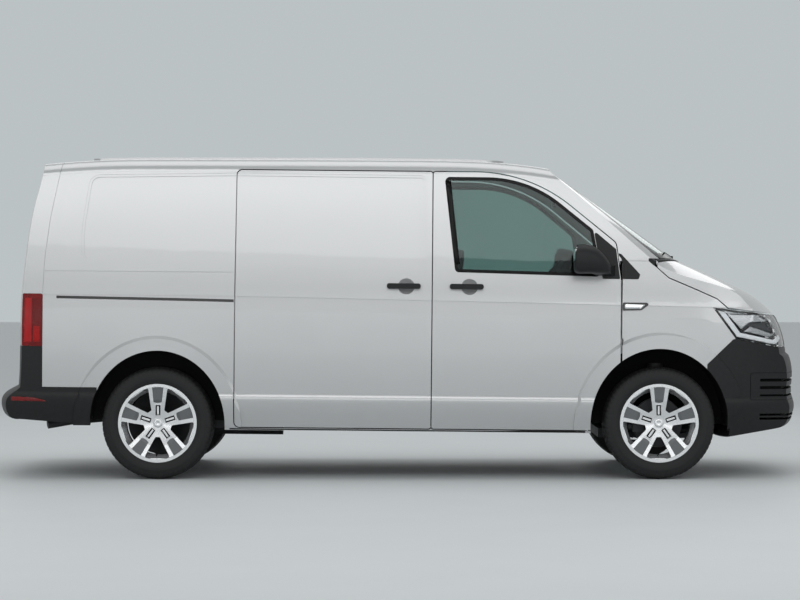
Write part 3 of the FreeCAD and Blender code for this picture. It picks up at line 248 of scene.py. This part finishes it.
def slab(name, low, high, finish, body, rounding=0.0, put=lambda *place: place):
    """Box between two corners, each corner put in its place."""
    points = [put(x, y, z) for x in (low[0], high[0]) for y in (low[1], high[1]) for z in (low[2], high[2])]
    made = piece(name, points, BLOCK_FACES, finish, body, False)
    if rounding:
        bevel(made, rounding)
    return made


def level_slab(name, low, high, finish, rounding=0.0):
    """Box between two corners of the level frame, on the body."""
    slab(name, low, high, finish, "body", rounding, levelled)


def tube(name, path, radius, finish, body):
    """Round bar along a path."""
    curve = bpy.data.curves.new(name, "CURVE")
    curve.dimensions = "3D"
    curve.bevel_depth = radius
    curve.bevel_resolution = 2
    curve.use_fill_caps = True
    run = curve.splines.new("POLY")
    run.points.add(len(path) - 1)
    for point, place in zip(run.points, path):
        point.co = (*place, 1)
    curve.materials.append(finish)
    placed(name, curve, body)


# Tyres, with a road tread and ribbed sidewalls

GROOVES = (-0.052, -0.018, 0.018, 0.052)
GROOVE_DEPTH = 0.007
GROOVE_HALF = 0.0055
SIPE_DEPTH = 0.0055
SIPE_FROM = 0.022
SIPE_SHARE = 0.16
LEAN = 2.2
LEAN_TURN = 0.35
TREAD_HALF = 0.104
BLOCKS = 64
BLOCK_STEPS = 7
NOTCH_STEPS = 2
NOTCH_DEPTH = 0.0035
NOTCH_REACH = 0.024
SIDEWALL = 0.108
SHOULDER = 0.018
TREAD_EDGE = 0.0104
CROWN_DROP = 0.0102
CROWN_STEPS = 40


def tread_drop(angle, across):
    """Depth of the tread pattern at an angle and a distance from the middle of the tread."""
    deep = 0.0
    for groove in GROOVES:
        deep = max(deep, GROOVE_DEPTH * max(0.0, 1 - (abs(across - groove) / GROOVE_HALF) ** 4))
    pitch = 2 * math.pi / BLOCKS
    outer_groove = GROOVES[-1]
    lean = across * LEAN if abs(across) < outer_groove else math.copysign(outer_groove * LEAN, across)
    phase = ((angle + lean * LEAN_TURN * math.copysign(1, across)) % pitch) / pitch
    if abs(across) > SIPE_FROM and phase < SIPE_SHARE:
        deep = max(deep, SIPE_DEPTH)
    return deep if abs(across) < TREAD_HALF else 0.0


def make_tyre(node_name):
    """Tyre with its tread in place of a node; gives the wheel's centre and its outboard way along Y."""
    low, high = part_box(node_name)
    centre = (low + high) / 2
    outer = (high.x - low.x) / 2
    half = (high.y - low.y) / 2
    outward = -1 if centre.y < 0 else 1
    seat = outer - SIDEWALL
    side = [(half - 0.021, seat), (half - 0.014, seat + 0.012), (half - 0.004, seat + 0.026),
            (half, seat + 0.044), (half - 0.0015, seat + 0.052), (half - 0.001, seat + 0.054),
            (half - 0.003, seat + 0.058), (half - 0.005, seat + 0.076), (half - 0.010, seat + 0.089),
            (half - SHOULDER, outer - 0.0105)]
    crown = []
    for k in range(1, CROWN_STEPS):
        across = (half - SHOULDER) * (1 - 2 * k / CROWN_STEPS)
        crown.append((across, outer - CROWN_DROP * abs(across / (half - SHOULDER)) ** 3.2))
    profile = side + crown + [(-a, r) for a, r in reversed(side)]
    segments = BLOCKS * BLOCK_STEPS
    points = []
    for i in range(segments):
        angle = 2 * math.pi * i / segments
        for offset, radius in profile:
            if radius > outer - TREAD_EDGE:
                radius -= tread_drop(angle, offset)
            elif radius > outer - NOTCH_REACH and i % BLOCK_STEPS < NOTCH_STEPS:
                offset -= math.copysign(NOTCH_DEPTH, offset)
            points.append(round_point(centre, angle, radius, outward * offset))
    faces = ring_faces(segments, len(profile), len(profile) - 1, outward)
    made = piece(f"tread_{node_name}", points, faces, TYRE, body_of(node_name))
    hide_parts(node_name)
    return centre, outward


# Wheel trim: bare centre cap, wheel bolts and valve, and the shield or brake disc behind the spokes

SPOKES = 5
HUB_FACE = 0.062
BOLT_CIRCLE = 0.050
VALVE_ANGLE = math.radians(-92)


def make_wheel(node_name, centre, outward):
    """Turned details of one wheel, from its rim node, centre and outboard way along Y."""
    body = body_of(node_name)
    name = node_name.replace("rim_", "")
    face = HUB_FACE
    cap = [(face - 0.004, 0.0), (face - 0.004, 0.001), (face + 0.004, 0.012), (face + 0.003, 0.024),
           (face - 0.004, 0.029), (face - 0.01, 0.030)]
    lathe(f"cap_{name}", cap, centre, outward, ALLOY, body, 48, False)
    bolt = [(face - 0.03, 0.0005), (face - 0.001, 0.0005), (face - 0.001, 0.0065), (face - 0.004, 0.0085),
            (face - 0.03, 0.0085)]
    for k in range(SPOKES):
        place = round_point(centre, math.pi / 2 + 2 * math.pi * (k + 0.5) / SPOKES, BOLT_CIRCLE, 0)
        lathe(f"bolt_{name}_{k}", bolt, place, outward, CHROME, body, 6, False)
    stem = [round_point(centre, VALVE_ANGLE, radius, outward * offset)
            for radius, offset in ((0.196, 0.062), (0.186, 0.080))]
    tube(f"valve_{name}", stem, 0.0045, RUBBER, body)
    if "rear" in name:
        shield = [(-0.066, 0.030), (-0.066, 0.182), (-0.052, 0.1885), (-0.052, 0.1865), (-0.064, 0.180),
                  (-0.064, 0.030)]
        lathe(f"shield_{name}", shield, centre, outward, STEEL, "body", 64)
    else:
        disc = [(-0.050, 0.075), (-0.050, 0.150), (-0.039, 0.150), (-0.039, 0.082), (-0.020, 0.078),
                (-0.020, 0.075)]
        carrier = body_of(f"knuckle_{name.replace('front_', '')}")
        lathe(f"disc_{name}", disc, centre, outward, DISC, carrier, 96)


WHEELS = [f"{end}_{hand}" for end in ("front", "rear") for hand in ("right", "left")]
for wheel in WHEELS:
    make_wheel(f"rim_{wheel}", *make_tyre(f"tyre_{wheel}"))


# Wheel spokes: the grey panels sunk between the two ribs of each spoke, and a dark pocket with a bright bar

PANEL_RUNS = ((0.114, 0.0225, 0.0706), (0.140, 0.0262, 0.0789), (0.180, 0.0312, 0.0815),
              (0.2135, 0.0350, 0.0837))
PANEL_LIFT = 0.0004
SPOKE_PARTS = (("pocket", 0.045, 0.1075, 0.0142, 0.0484, 0.0004, RUBBER),
               ("bar", 0.050, 0.102, 0.0062, 0.0486, 0.0105, ALLOY))
SPOKE_SIDES = [(0, 2, 3, 1), (4, 5, 7, 6), (2, 6, 7, 3), (0, 4, 6, 2), (1, 3, 7, 5), (0, 1, 5, 4)]


def make_spokes(node_name):
    """Details of the five spokes of one rim."""
    low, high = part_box(node_name)
    centre = (low + high) / 2
    outward = -1 if centre.y < 0 else 1
    body = body_of(node_name)
    name = node_name.replace("rim_", "")
    turns = [Matrix.Rotation(2 * math.pi * k / SPOKES, 3, "Y") for k in range(SPOKES)]
    points = []
    faces = []
    for turn in turns:
        first = len(points)
        for r, wide, off in PANEL_RUNS:
            for side in (-1, 1):
                points.append(centre + turn @ Vector((side * wide, outward * (off + PANEL_LIFT), r)))
        for j in range(len(PANEL_RUNS) - 1):
            a = first + 2 * j
            faces.append((a, a + 1, a + 3, a + 2) if outward > 0 else (a + 2, a + 3, a + 1, a))
    panels = piece(f"panels_{name}", points, faces, ALLOY_GREY, body, False)
    thick = panels.modifiers.new("thick", "SOLIDIFY")
    thick.thickness = 0.0005
    for k, turn in enumerate(turns):
        for part, r0, r1, wide, off, tall, finish in SPOKE_PARTS:
            corners = [centre + turn @ Vector((s * wide, outward * (off + t * tall), r))
                       for r in (r0, r1) for t in (0, 1) for s in (-1, 1)]
            block = piece(f"{part}_{name}_{k}", corners, SPOKE_SIDES, finish, body, False)
            if part == "bar":
                bevel(block, 0.002, 2)


for wheel in WHEELS:
    make_spokes(f"rim_{wheel}")


# Black borders baked on the glass

FACING_SHARE = 0.25
WELD = 1e-6
BORDER_LIFT = 0.0004


def border(name, node_name, facing, width, even=True):
    """Band along the edge of a pane, on the side that faces a direction."""
    work = bmesh.new()
    work.from_mesh(nodes[node_name].data)
    bmesh.ops.remove_doubles(work, verts=work.verts, dist=WELD)
    away = Vector(facing)
    turned_away = [f for f in work.faces if f.normal.dot(away) < FACING_SHARE]
    bmesh.ops.delete(work, geom=turned_away, context="FACES")
    inner = bmesh.ops.inset_region(work, faces=list(work.faces), thickness=width, use_even_offset=even,
                                   use_boundary=True)["faces"]
    keep = set(inner)
    bmesh.ops.delete(work, geom=[f for f in work.faces if f not in keep], context="FACES")
    for vertex in work.verts:
        _, place, _, _ = nodes[node_name].closest_point_on_mesh(vertex.co)
        vertex.co = place + away * BORDER_LIFT
    mesh = bpy.data.meshes.new(name)
    work.to_mesh(mesh)
    work.free()
    mesh.materials.append(FRIT)
    placed(name, mesh, body_of(node_name))


border("edge_glass_right", "glass_right", (0, -1, 0), 0.032)
border("edge_glass_left", "glass_left", (0, 1, 0), 0.032)
border("edge_windscreen", "windscreen", Vector((0.5, 0, 0.85)).normalized(), 0.05, False)
border("edge_glass_rear", "glass_rear", (-1, 0, 0), 0.045)


# Wipers, at rest at the foot of the windscreen

SCREEN_AHEAD = 2.4
WIPER_OFF = Vector((0.006, 0, 0.008))
WIPER_SPANS = ((0.62, 0.66, 0.05), (-0.02, 0.00, -0.60))
FOOT_HEIGHT = 1.350
HEEL_HEIGHT = 1.375
TIP_HEIGHT = 1.372


def screen_point(y, height):
    """Point off the outside of the windscreen at a height of the level frame."""
    start = levelled(SCREEN_AHEAD, y, height)
    hit, place, _, _ = nodes["windscreen"].ray_cast(start, Vector((-1, 0, 0)))
    return place + WIPER_OFF if hit else None


def wiper(name, foot, heel, tip, body):
    """Arm from its spindle to the middle of a blade, and the blade."""
    middle = (heel + tip) / 2
    tube(f"{name}_arm", [foot, foot.lerp(middle, 0.5), middle], 0.006, BLACK, body)
    tube(f"{name}_blade", [heel, middle, tip], 0.005, RUBBER, body)
    tube(f"{name}_spindle", [foot - Vector((0, 0, 0.014)), foot + Vector((0, 0, 0.008))], 0.013, BLACK, body)


for k, (foot_y, heel_y, tip_y) in enumerate(WIPER_SPANS):
    heel, tip = screen_point(heel_y, HEEL_HEIGHT), screen_point(tip_y, TIP_HEIGHT)
    foot = screen_point(foot_y, FOOT_HEIGHT)
    if heel and tip and foot:
        wiper(f"wiper_{k}", foot, heel, tip, "body")


# Sheets that follow the bodywork, placed by rays of a view: axis, where the rays start on it, and their way

VIEWS = {
    "right": ("y", -2.0, (0, 1, 0)), "left": ("y", 2.0, (0, -1, 0)),
    "in_right": ("y", -0.3, (0, -1, 0)), "in_left": ("y", 0.3, (0, 1, 0)),
    "front": ("x", 3.5, (-1, 0, 0)), "rear": ("x", -3.5, (1, 0, 0)),
    "in_top": ("z", 1.3, (0, 0, 1)),
}


def seen(node_name, view, a, b):
    """Where the ray of a view at (a, b) of the level frame meets a node: hit or not, place and normal."""
    axis, start, way = VIEWS[view]
    origin = levelled(*{"x": (start, a, b), "y": (a, start, b), "z": (a, b, start)}[axis])
    hit, place, normal, _ = nodes[node_name].ray_cast(origin, Vector(way))
    return hit, place, normal


def patch(name, node_name, view, edges, depth, thick, finish, cell=0.012):
    """Sheet that follows a node at a depth, filling outlines of the level frame as seen in a view."""
    work = bmesh.new()
    for edge in edges:
        work.faces.new([work.verts.new((a, 0, b)) for a, b in edge])
    for axis, part in ((0, 0), (2, 1)):
        spread = [point[part] for edge in edges for point in edge]
        low, high = min(spread), max(spread)
        normal = Vector((0, 0, 0))
        normal[axis] = 1
        for k in range(1, int((high - low) / cell) + 1):
            bmesh.ops.bisect_plane(work, geom=work.verts[:] + work.edges[:] + work.faces[:],
                                   plane_co=normal * (low + k * cell), plane_no=normal)
    lost = []
    for vertex in work.verts:
        hit, place, normal = seen(node_name, view, vertex.co.x, vertex.co.z)
        if hit:
            vertex.co = place - normal * depth
        else:
            lost.append(vertex)
    bmesh.ops.delete(work, geom=lost, context="VERTS")
    mesh = bpy.data.meshes.new(name)
    work.to_mesh(mesh)
    work.free()
    mesh.materials.append(finish)
    for polygon in mesh.polygons:
        polygon.use_smooth = True
    shell(placed(name, mesh, body_of(node_name)), thick)


def oblong(a0, b0, a1, b1):
    """Outline of a rectangle between two corners."""
    return [(a0, b0), (a1, b0), (a1, b1), (a0, b1)]


def strips(points, width):
    """Quads along a run of points, each with a width to the left of the way it goes."""
    made = []
    for a, b in zip(points, points[1:]):
        step = math.dist(a, b)
        dx, dz = (a[1] - b[1]) / step * width, (b[0] - a[0]) / step * width
        made.append([a, b, (b[0] + dx, b[1] + dz), (a[0] + dx, a[1] + dz)])
    return made


# Lamps with guides, reflectors and housings, a painted highlight band on the tail lamps, the bumper's
# reflectors, and dark bands on glass and seals

GUIDE = [(1.884, 1.030), (2.003, 0.872), (2.240, 0.826), (2.292, 0.858), (2.276, 0.884), (2.232, 0.852),
         (2.022, 0.896), (1.930, 1.018)]
UPPER = [(1.945, 1.012), (2.032, 0.915), (2.085, 0.958), (2.175, 0.962), (2.225, 0.990), (2.120, 1.004)]
LOWER = [(2.050, 0.903), (2.215, 0.868), (2.240, 0.884), (2.150, 0.915), (2.090, 0.932)]
WEDGE = [(2.032, 0.912), (2.048, 0.905), (2.090, 0.934), (2.150, 0.918), (2.236, 0.888), (2.262, 0.930),
         (2.240, 0.965), (2.175, 0.958), (2.085, 0.954)]
OUTLINE = [(2.292, 0.838), (2.246, 0.816), (1.997, 0.864), (1.860, 1.040), (1.945, 1.034), (2.272, 0.997)]
REPEATER = [(1.324, 1.061), (1.446, 1.057), (1.420, 1.035), (1.324, 1.032)]
DARK_COLUMN = [(-2.168, 1.062), (-2.205, 1.062), (-2.205, 0.905), (-2.168, 0.905)]
RED_COLUMN = [(-2.168, 0.895), (-2.205, 0.895), (-2.205, 0.802), (-2.168, 0.802)]
# Pale band on the tail lamps: a painted highlight on the lens, drawn in the light guide's white
PAINTED_HIGHLIGHT_BAND = [(-2.216, 1.066), (-2.258, 1.066), (-2.262, 0.800), (-2.216, 0.800)]
REFLECTOR = [(-2.125, 0.447), (-2.125, 0.452), (-2.200, 0.470), (-2.335, 0.474), (-2.335, 0.449)]
PILLAR_BAND = [(0.240, 1.818), (0.280, 1.818), (0.345, 1.240), (0.305, 1.240)]
SAIL_SEALS = [[(1.282, 1.205), (1.3135, 1.205), (1.3135, 1.318), (1.282, 1.318)],
              [(1.2905, 1.322), (1.3120, 1.322), (1.3030, 1.352), (1.2885, 1.366)]]

for hand in ("right", "left"):
    patch(f"lamp_guide_{hand}", "headlamps", hand, [GUIDE], 0.008, 0.004, WHITE)
    patch(f"lamp_upper_{hand}", "headlamps", hand, [UPPER], 0.016, 0.002, BOWL)
    patch(f"lamp_lower_{hand}", "headlamps", hand, [LOWER], 0.018, 0.002, BOWL)
    patch(f"lamp_wedge_{hand}", "headlamps", hand, [WEDGE], 0.030, 0.002, HOUSING)
    patch(f"lamp_outline_{hand}", "headlamps", hand, strips(OUTLINE, -0.007), 0.002, 0.001, GLOSS)
    patch(f"repeater_lens_{hand}", "indicators", hand, [REPEATER], -0.0008, 0.001, CHROME)
    patch(f"tail_column_{hand}", "tail_lamps", hand, [DARK_COLUMN], 0.006, 0.001, HOUSING)
    patch(f"tail_stop_{hand}", "tail_lamps", hand, [RED_COLUMN], 0.007, 0.001, BULB)
    # Painted highlight: a white band behind the red lens
    patch(f"tail_painted_highlight_{hand}", "tail_lamps", hand, [PAINTED_HIGHLIGHT_BAND], 0.010, 0.001, WHITE)
    patch(f"reflector_{hand}", "bumper_rear", hand, [REFLECTOR], -0.001, 0.001, RED)
    patch(f"pillar_band_{hand}", f"glass_{hand}", hand, [PILLAR_BAND], -0.0008, 0.0006, FRIT, 0.05)
    for k, edge in enumerate(SAIL_SEALS):
        patch(f"sail_seal_{k}_{hand}", f"side_frame_{hand}", hand, [edge], -0.001, 0.0012, RUBBER, 0.03)


# Dark net behind the slots of the front bumper, and the mirror glasses

def backing(name, node_name, across, heights, depth, finish):
    """Sheet behind a node, through points seen from ahead at heights where the node is solid."""
    points = []
    faces = []
    index = {}
    for i, height in enumerate(heights):
        for j, y in enumerate(across):
            hit, place, normal = seen(node_name, "front", y, height)
            if hit:
                index[i, j] = len(points)
                points.append(place - normal * depth)
    for i in range(len(heights) - 1):
        for j in range(len(across) - 1):
            ring = [(i, j), (i, j + 1), (i + 1, j + 1), (i + 1, j)]
            if all(key in index for key in ring):
                faces.append([index[key] for key in ring])
    shell(piece(name, points, faces, finish, body_of(node_name)), 0.002)


def flattened(value, power=0.6):
    """Cosine or sine drawn out, for an oblong outline with round corners."""
    return math.copysign(abs(value) ** power, value)


backing("bumper_net", "bumper_front", [0.04 * k - 0.88 for k in range(45)],
        (0.640, 0.588, 0.541, 0.500, 0.455, 0.425, 0.391, 0.362), 0.040, RUBBER)
for hand, side in (("right", -1), ("left", 1)):
    angles = [2 * math.pi * (k + 0.5) / 32 for k in range(32)]
    face = [(side * 1.052 + 0.074 * flattened(math.cos(t)), 1.322 + 0.056 * flattened(math.sin(t)))
            for t in angles]
    patch(f"mirror_glass_{hand}", f"mirror_{hand}", "rear", [face], -0.001, 0.001, CHROME)


# Sill strips, linings of the doors and the cab roof, details of the dashboard, the tailgate's wiper, and
# the two blank plates

CARD = [(0.215, 0.43), (1.03, 0.43), (1.06, 0.62), (1.16, 0.80), (1.25, 0.87), (1.25, 1.185), (0.33, 1.215),
        (0.215, 1.215)]
POCKET = [(0.36, 0.48), (0.92, 0.48), (0.96, 0.62), (0.36, 0.62)]
REST = [(0.45, 0.93), (0.98, 0.95), (0.98, 1.00), (0.45, 0.99)]
for hand, side in (("right", -1), ("left", 1)):
    level_slab(f"sill_strip_{hand}", (-1.028, side * 0.9024, 0.2886), (1.100, side * 0.9040, 0.2982), RUBBER)
    patch(f"door_card_{hand}", f"door_{hand}", f"in_{hand}", [CARD], -0.003, 0.004, TRIM, 0.04)
    patch(f"door_pocket_{hand}", f"door_{hand}", f"in_{hand}", [POCKET], -0.018, 0.026, TRIM, 0.04)
    patch(f"door_rest_{hand}", f"door_{hand}", f"in_{hand}", [REST], -0.022, 0.034, TRIM, 0.04)
patch("headliner", "roof_panel", "in_top", [oblong(0.215, -0.66, 0.82, 0.66)], -0.003, 0.004, LINING, 0.06)
patch("dash_screen", "dashboard", "rear", [oblong(-0.13, 1.125, 0.10, 1.180)], -0.002, 0.004, GLOSS, 0.02)
patch("dash_gauges", "dashboard", "rear", [oblong(0.27, 1.130, 0.53, 1.196)], -0.002, 0.004, GLOSS, 0.02)
for k, y in enumerate((-0.66, -0.20, 0.16, 0.62)):
    vent = oblong(y - 0.045, 1.120, y + 0.045, 1.170)
    patch(f"dash_vent_{k}", "dashboard", "rear", [vent], -0.002, 0.004, HOUSING, 0.02)
level_slab("dash_hood", (1.075, 0.25, 1.195), (1.21, 0.55, 1.238), TRIM, 0.012)
level_slab("rear_view_mirror", (0.935, -0.115, 1.655), (0.955, 0.115, 1.715), HOUSING, 0.006)
tube("rear_view_stalk", [levelled(0.955, 0, 1.70), levelled(1.01, 0, 1.745)], 0.006, HOUSING, "body")
sweep = [seen("glass_rear", "rear", y, z) for y, z in ((0.0, 1.290), (0.02, 1.322), (0.50, 1.338))]
if all(hit for hit, _, _ in sweep):
    foot, heel, tip = [place + normal * 0.012 for _, place, normal in sweep]
    wiper("wiper_rear", foot, heel, tip, body_of("glass_rear"))
PLATE_REAR = oblong(-0.26, 0.716, 0.26, 0.828)
PLATE_FRONT = oblong(-0.26, 0.648, 0.26, 0.740)
patch("plate_rear", "tailgate", "rear", [PLATE_REAR], -0.001, 0.002, PLATE_FINISH, 0.04)
patch("plate_front", "bumper_front", "front", [PLATE_FRONT], -0.003, 0.002, PLATE_FINISH, 0.04)


# Cab: seats with crowned, sewn cushions

CUSHION_CELLS = 18
CUSHION_POWER = 7.0
CUSHION_CROWN = 0.012
CHANNEL_DEPTH = 0.006
PIPING_DEPTH = 0.007
PIPING_AT = 0.72
SEAM_HALF = 0.05


def cube_spot(axis, side, i, j):
    """Grid point (i, j) on one face of the cube from -1 to 1."""
    spot = [0.0, 0.0, 0.0]
    spot[axis] = side
    spot[(axis + 1) % 3] = 2 * i / CUSHION_CELLS - 1
    spot[(axis + 2) % 3] = 2 * j / CUSHION_CELLS - 1
    return spot


def key_of(spot):
    """Key of a point that two faces of the cube share."""
    return tuple(round(v, 5) for v in spot)


def seam_depth(v, channels):
    """How far the sewn channels pull the top in, at a place across the pad."""
    deep = 0.0
    for c in range(1, channels + 1):
        line = 2 * c / (channels + 1) - 1
        deep += CHANNEL_DEPTH * math.exp(-((v - line) / SEAM_HALF) ** 2)
    return deep + PIPING_DEPTH * math.exp(-((abs(v) - PIPING_AT) / SEAM_HALF) ** 2)


def cushion(name, centre, size, lean, channels=3):
    """Crowned pad with rounded corners, sewn channels and sides that pull in, turned by lean about Y."""
    points = []
    faces = []
    index = {}
    turn = Matrix.Rotation(lean, 3, "Y")
    for axis in range(3):
        for side in (-1, 1):
            for i in range(CUSHION_CELLS + 1):
                for j in range(CUSHION_CELLS + 1):
                    spot = cube_spot(axis, side, i, j)
                    if key_of(spot) in index:
                        continue
                    u, v, w = spot
                    norm = sum(abs(c) ** CUSHION_POWER for c in spot) ** (1 / CUSHION_POWER)
                    p = Vector(spot) / norm
                    bulge = CUSHION_CROWN * (1 - u * u) * (1 - v * v) * (1 if w > 0 else 0)
                    seam = -seam_depth(v, channels) if w > 0.5 else 0.0
                    pull = 1 - 0.035 * (1 - abs(w)) * (abs(u) > 0.98 or abs(v) > 0.98)
                    local = Vector((p.x * size[0] / 2 * pull, p.y * size[1] / 2 * pull,
                                    p.z * size[2] / 2 + max(0.0, p.z) * (bulge + seam)))
                    index[key_of(spot)] = len(points)
                    points.append(Vector(centre) + turn @ local)
            for i in range(CUSHION_CELLS):
                for j in range(CUSHION_CELLS):
                    ring = [index[key_of(cube_spot(axis, side, i + a, j + b))]
                            for a, b in ((0, 0), (1, 0), (1, 1), (0, 1))]
                    faces.append(tuple(ring if side > 0 else ring[::-1]))
    made = piece(name, points, faces, FABRIC, "body")


seat_low, seat_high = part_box("seats")
BACK_X = seat_high.x
SEAT_Z = seat_low.z
SEATS = (("driver", 0.16, 0.67), ("bench_out", -0.70, -0.305), ("bench_in", -0.305, 0.09))
first_seat = None
for seat_name, y0, y1 in SEATS:
    middle = (y0 + y1) / 2
    wide = y1 - y0 - 0.012
    cushion(f"seat_{seat_name}", (BACK_X - 0.235, middle, SEAT_Z + 0.245), (0.455, wide, 0.14),
            math.radians(-5))
    cushion(f"back_{seat_name}", (BACK_X - 0.485, middle, SEAT_Z + 0.60), (0.60, wide, 0.115),
            math.radians(-81), channels=2)
    cushion(f"rest_{seat_name}", (BACK_X - 0.528, middle, SEAT_Z + 1.045), (0.17, wide * 0.55, 0.085),
            math.radians(-85), channels=0)
    stand = slab(f"stand_{seat_name}", (BACK_X - 0.44, y0 + 0.03, SEAT_Z + 0.001),
                 (BACK_X - 0.06, y1 - 0.03, SEAT_Z + 0.18), TRIM, "body", 0.012)
    for end, s in (("a", -0.06), ("b", 0.06)):
        post = [Vector((BACK_X - 0.515, middle + s, SEAT_Z + 0.88)),
                Vector((BACK_X - 0.528, middle + s, SEAT_Z + 1.02))]
        tube(f"post_{seat_name}_{end}", post, 0.006, CHROME, "body")
    first_seat = first_seat or stand
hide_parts("seats")


# Camera, floor and lights

camera_data = bpy.data.cameras.new("camera")
camera_data.lens = 120.4
camera_data.sensor_width = 36
camera_data.shift_y = -19 / 800
camera = bpy.data.objects.new("camera", camera_data)
camera.location = (-0.006, -16.9, 1.1855)
camera.rotation_euler = (math.pi / 2, 0, 0)
scene.collection.objects.link(camera)
scene.camera = camera

REACH = 60
floor_mesh = bpy.data.meshes.new("studio_floor")
floor_mesh.from_pydata([(-REACH, -REACH, 0), (REACH, -REACH, 0), (REACH, REACH, 0), (-REACH, REACH, 0)], [],
                       [(0, 1, 2, 3)])
floor_mesh.materials.append(material("floor_pale", (0.66, 0.69, 0.70), 0.6, grain=0.01, scale=2))
studio_floor = bpy.data.objects.new("studio_floor", floor_mesh)
scene.collection.objects.link(studio_floor)

# The camera sees a backdrop of its own colour; light and reflections come from the background

world = bpy.data.worlds.new("studio")
scene.world = world
world.use_nodes = True
sky = world.node_tree
background = sky.nodes["Background"]
background.inputs["Color"].default_value = (0.84, 0.87, 0.88, 1)
background.inputs["Strength"].default_value = 0.60
backdrop = sky.nodes.new("ShaderNodeBackground")
backdrop.inputs["Color"].default_value = (0.50, 0.54, 0.55, 1)
backdrop.inputs["Strength"].default_value = 1.0
rays = sky.nodes.new("ShaderNodeLightPath")
choice = sky.nodes.new("ShaderNodeMixShader")
sky.links.new(rays.outputs["Is Camera Ray"], choice.inputs["Fac"])
sky.links.new(background.outputs["Background"], choice.inputs[1])
sky.links.new(backdrop.outputs["Background"], choice.inputs[2])
sky.links.new(choice.outputs["Shader"], sky.nodes["World Output"].inputs["Surface"])


def lamp(name, place, target, width, height, power):
    """Rectangular area lamp that faces a target."""
    data = bpy.data.lights.new(name, "AREA")
    data.shape = "RECTANGLE"
    data.size, data.size_y = width, height
    data.energy = power
    made = bpy.data.objects.new(name, data)
    made.location = place
    made.rotation_mode = "QUATERNION"
    made.rotation_quaternion = (Vector(target) - Vector(place)).to_track_quat("-Z", "Y")
    scene.collection.objects.link(made)


lamp("key", (-1.0, -7.5, 4.9), (0, 0, 0.9), 12, 3, 150)
lamp("low", (0, -19.0, 2.0), (0, 0, 1.0), 30, 2, 330)
lamp("fill", (5.5, -5.0, 2.6), (1.5, 0, 0.8), 4, 3, 25)
lamp("top", (0, 0, 6.0), (0, 0, 0), 8, 4, 90)
lamp("back", (0, 7.0, 4.0), (0, 0, 1.0), 8, 3, 60)
scene.view_settings.view_transform = "Standard"
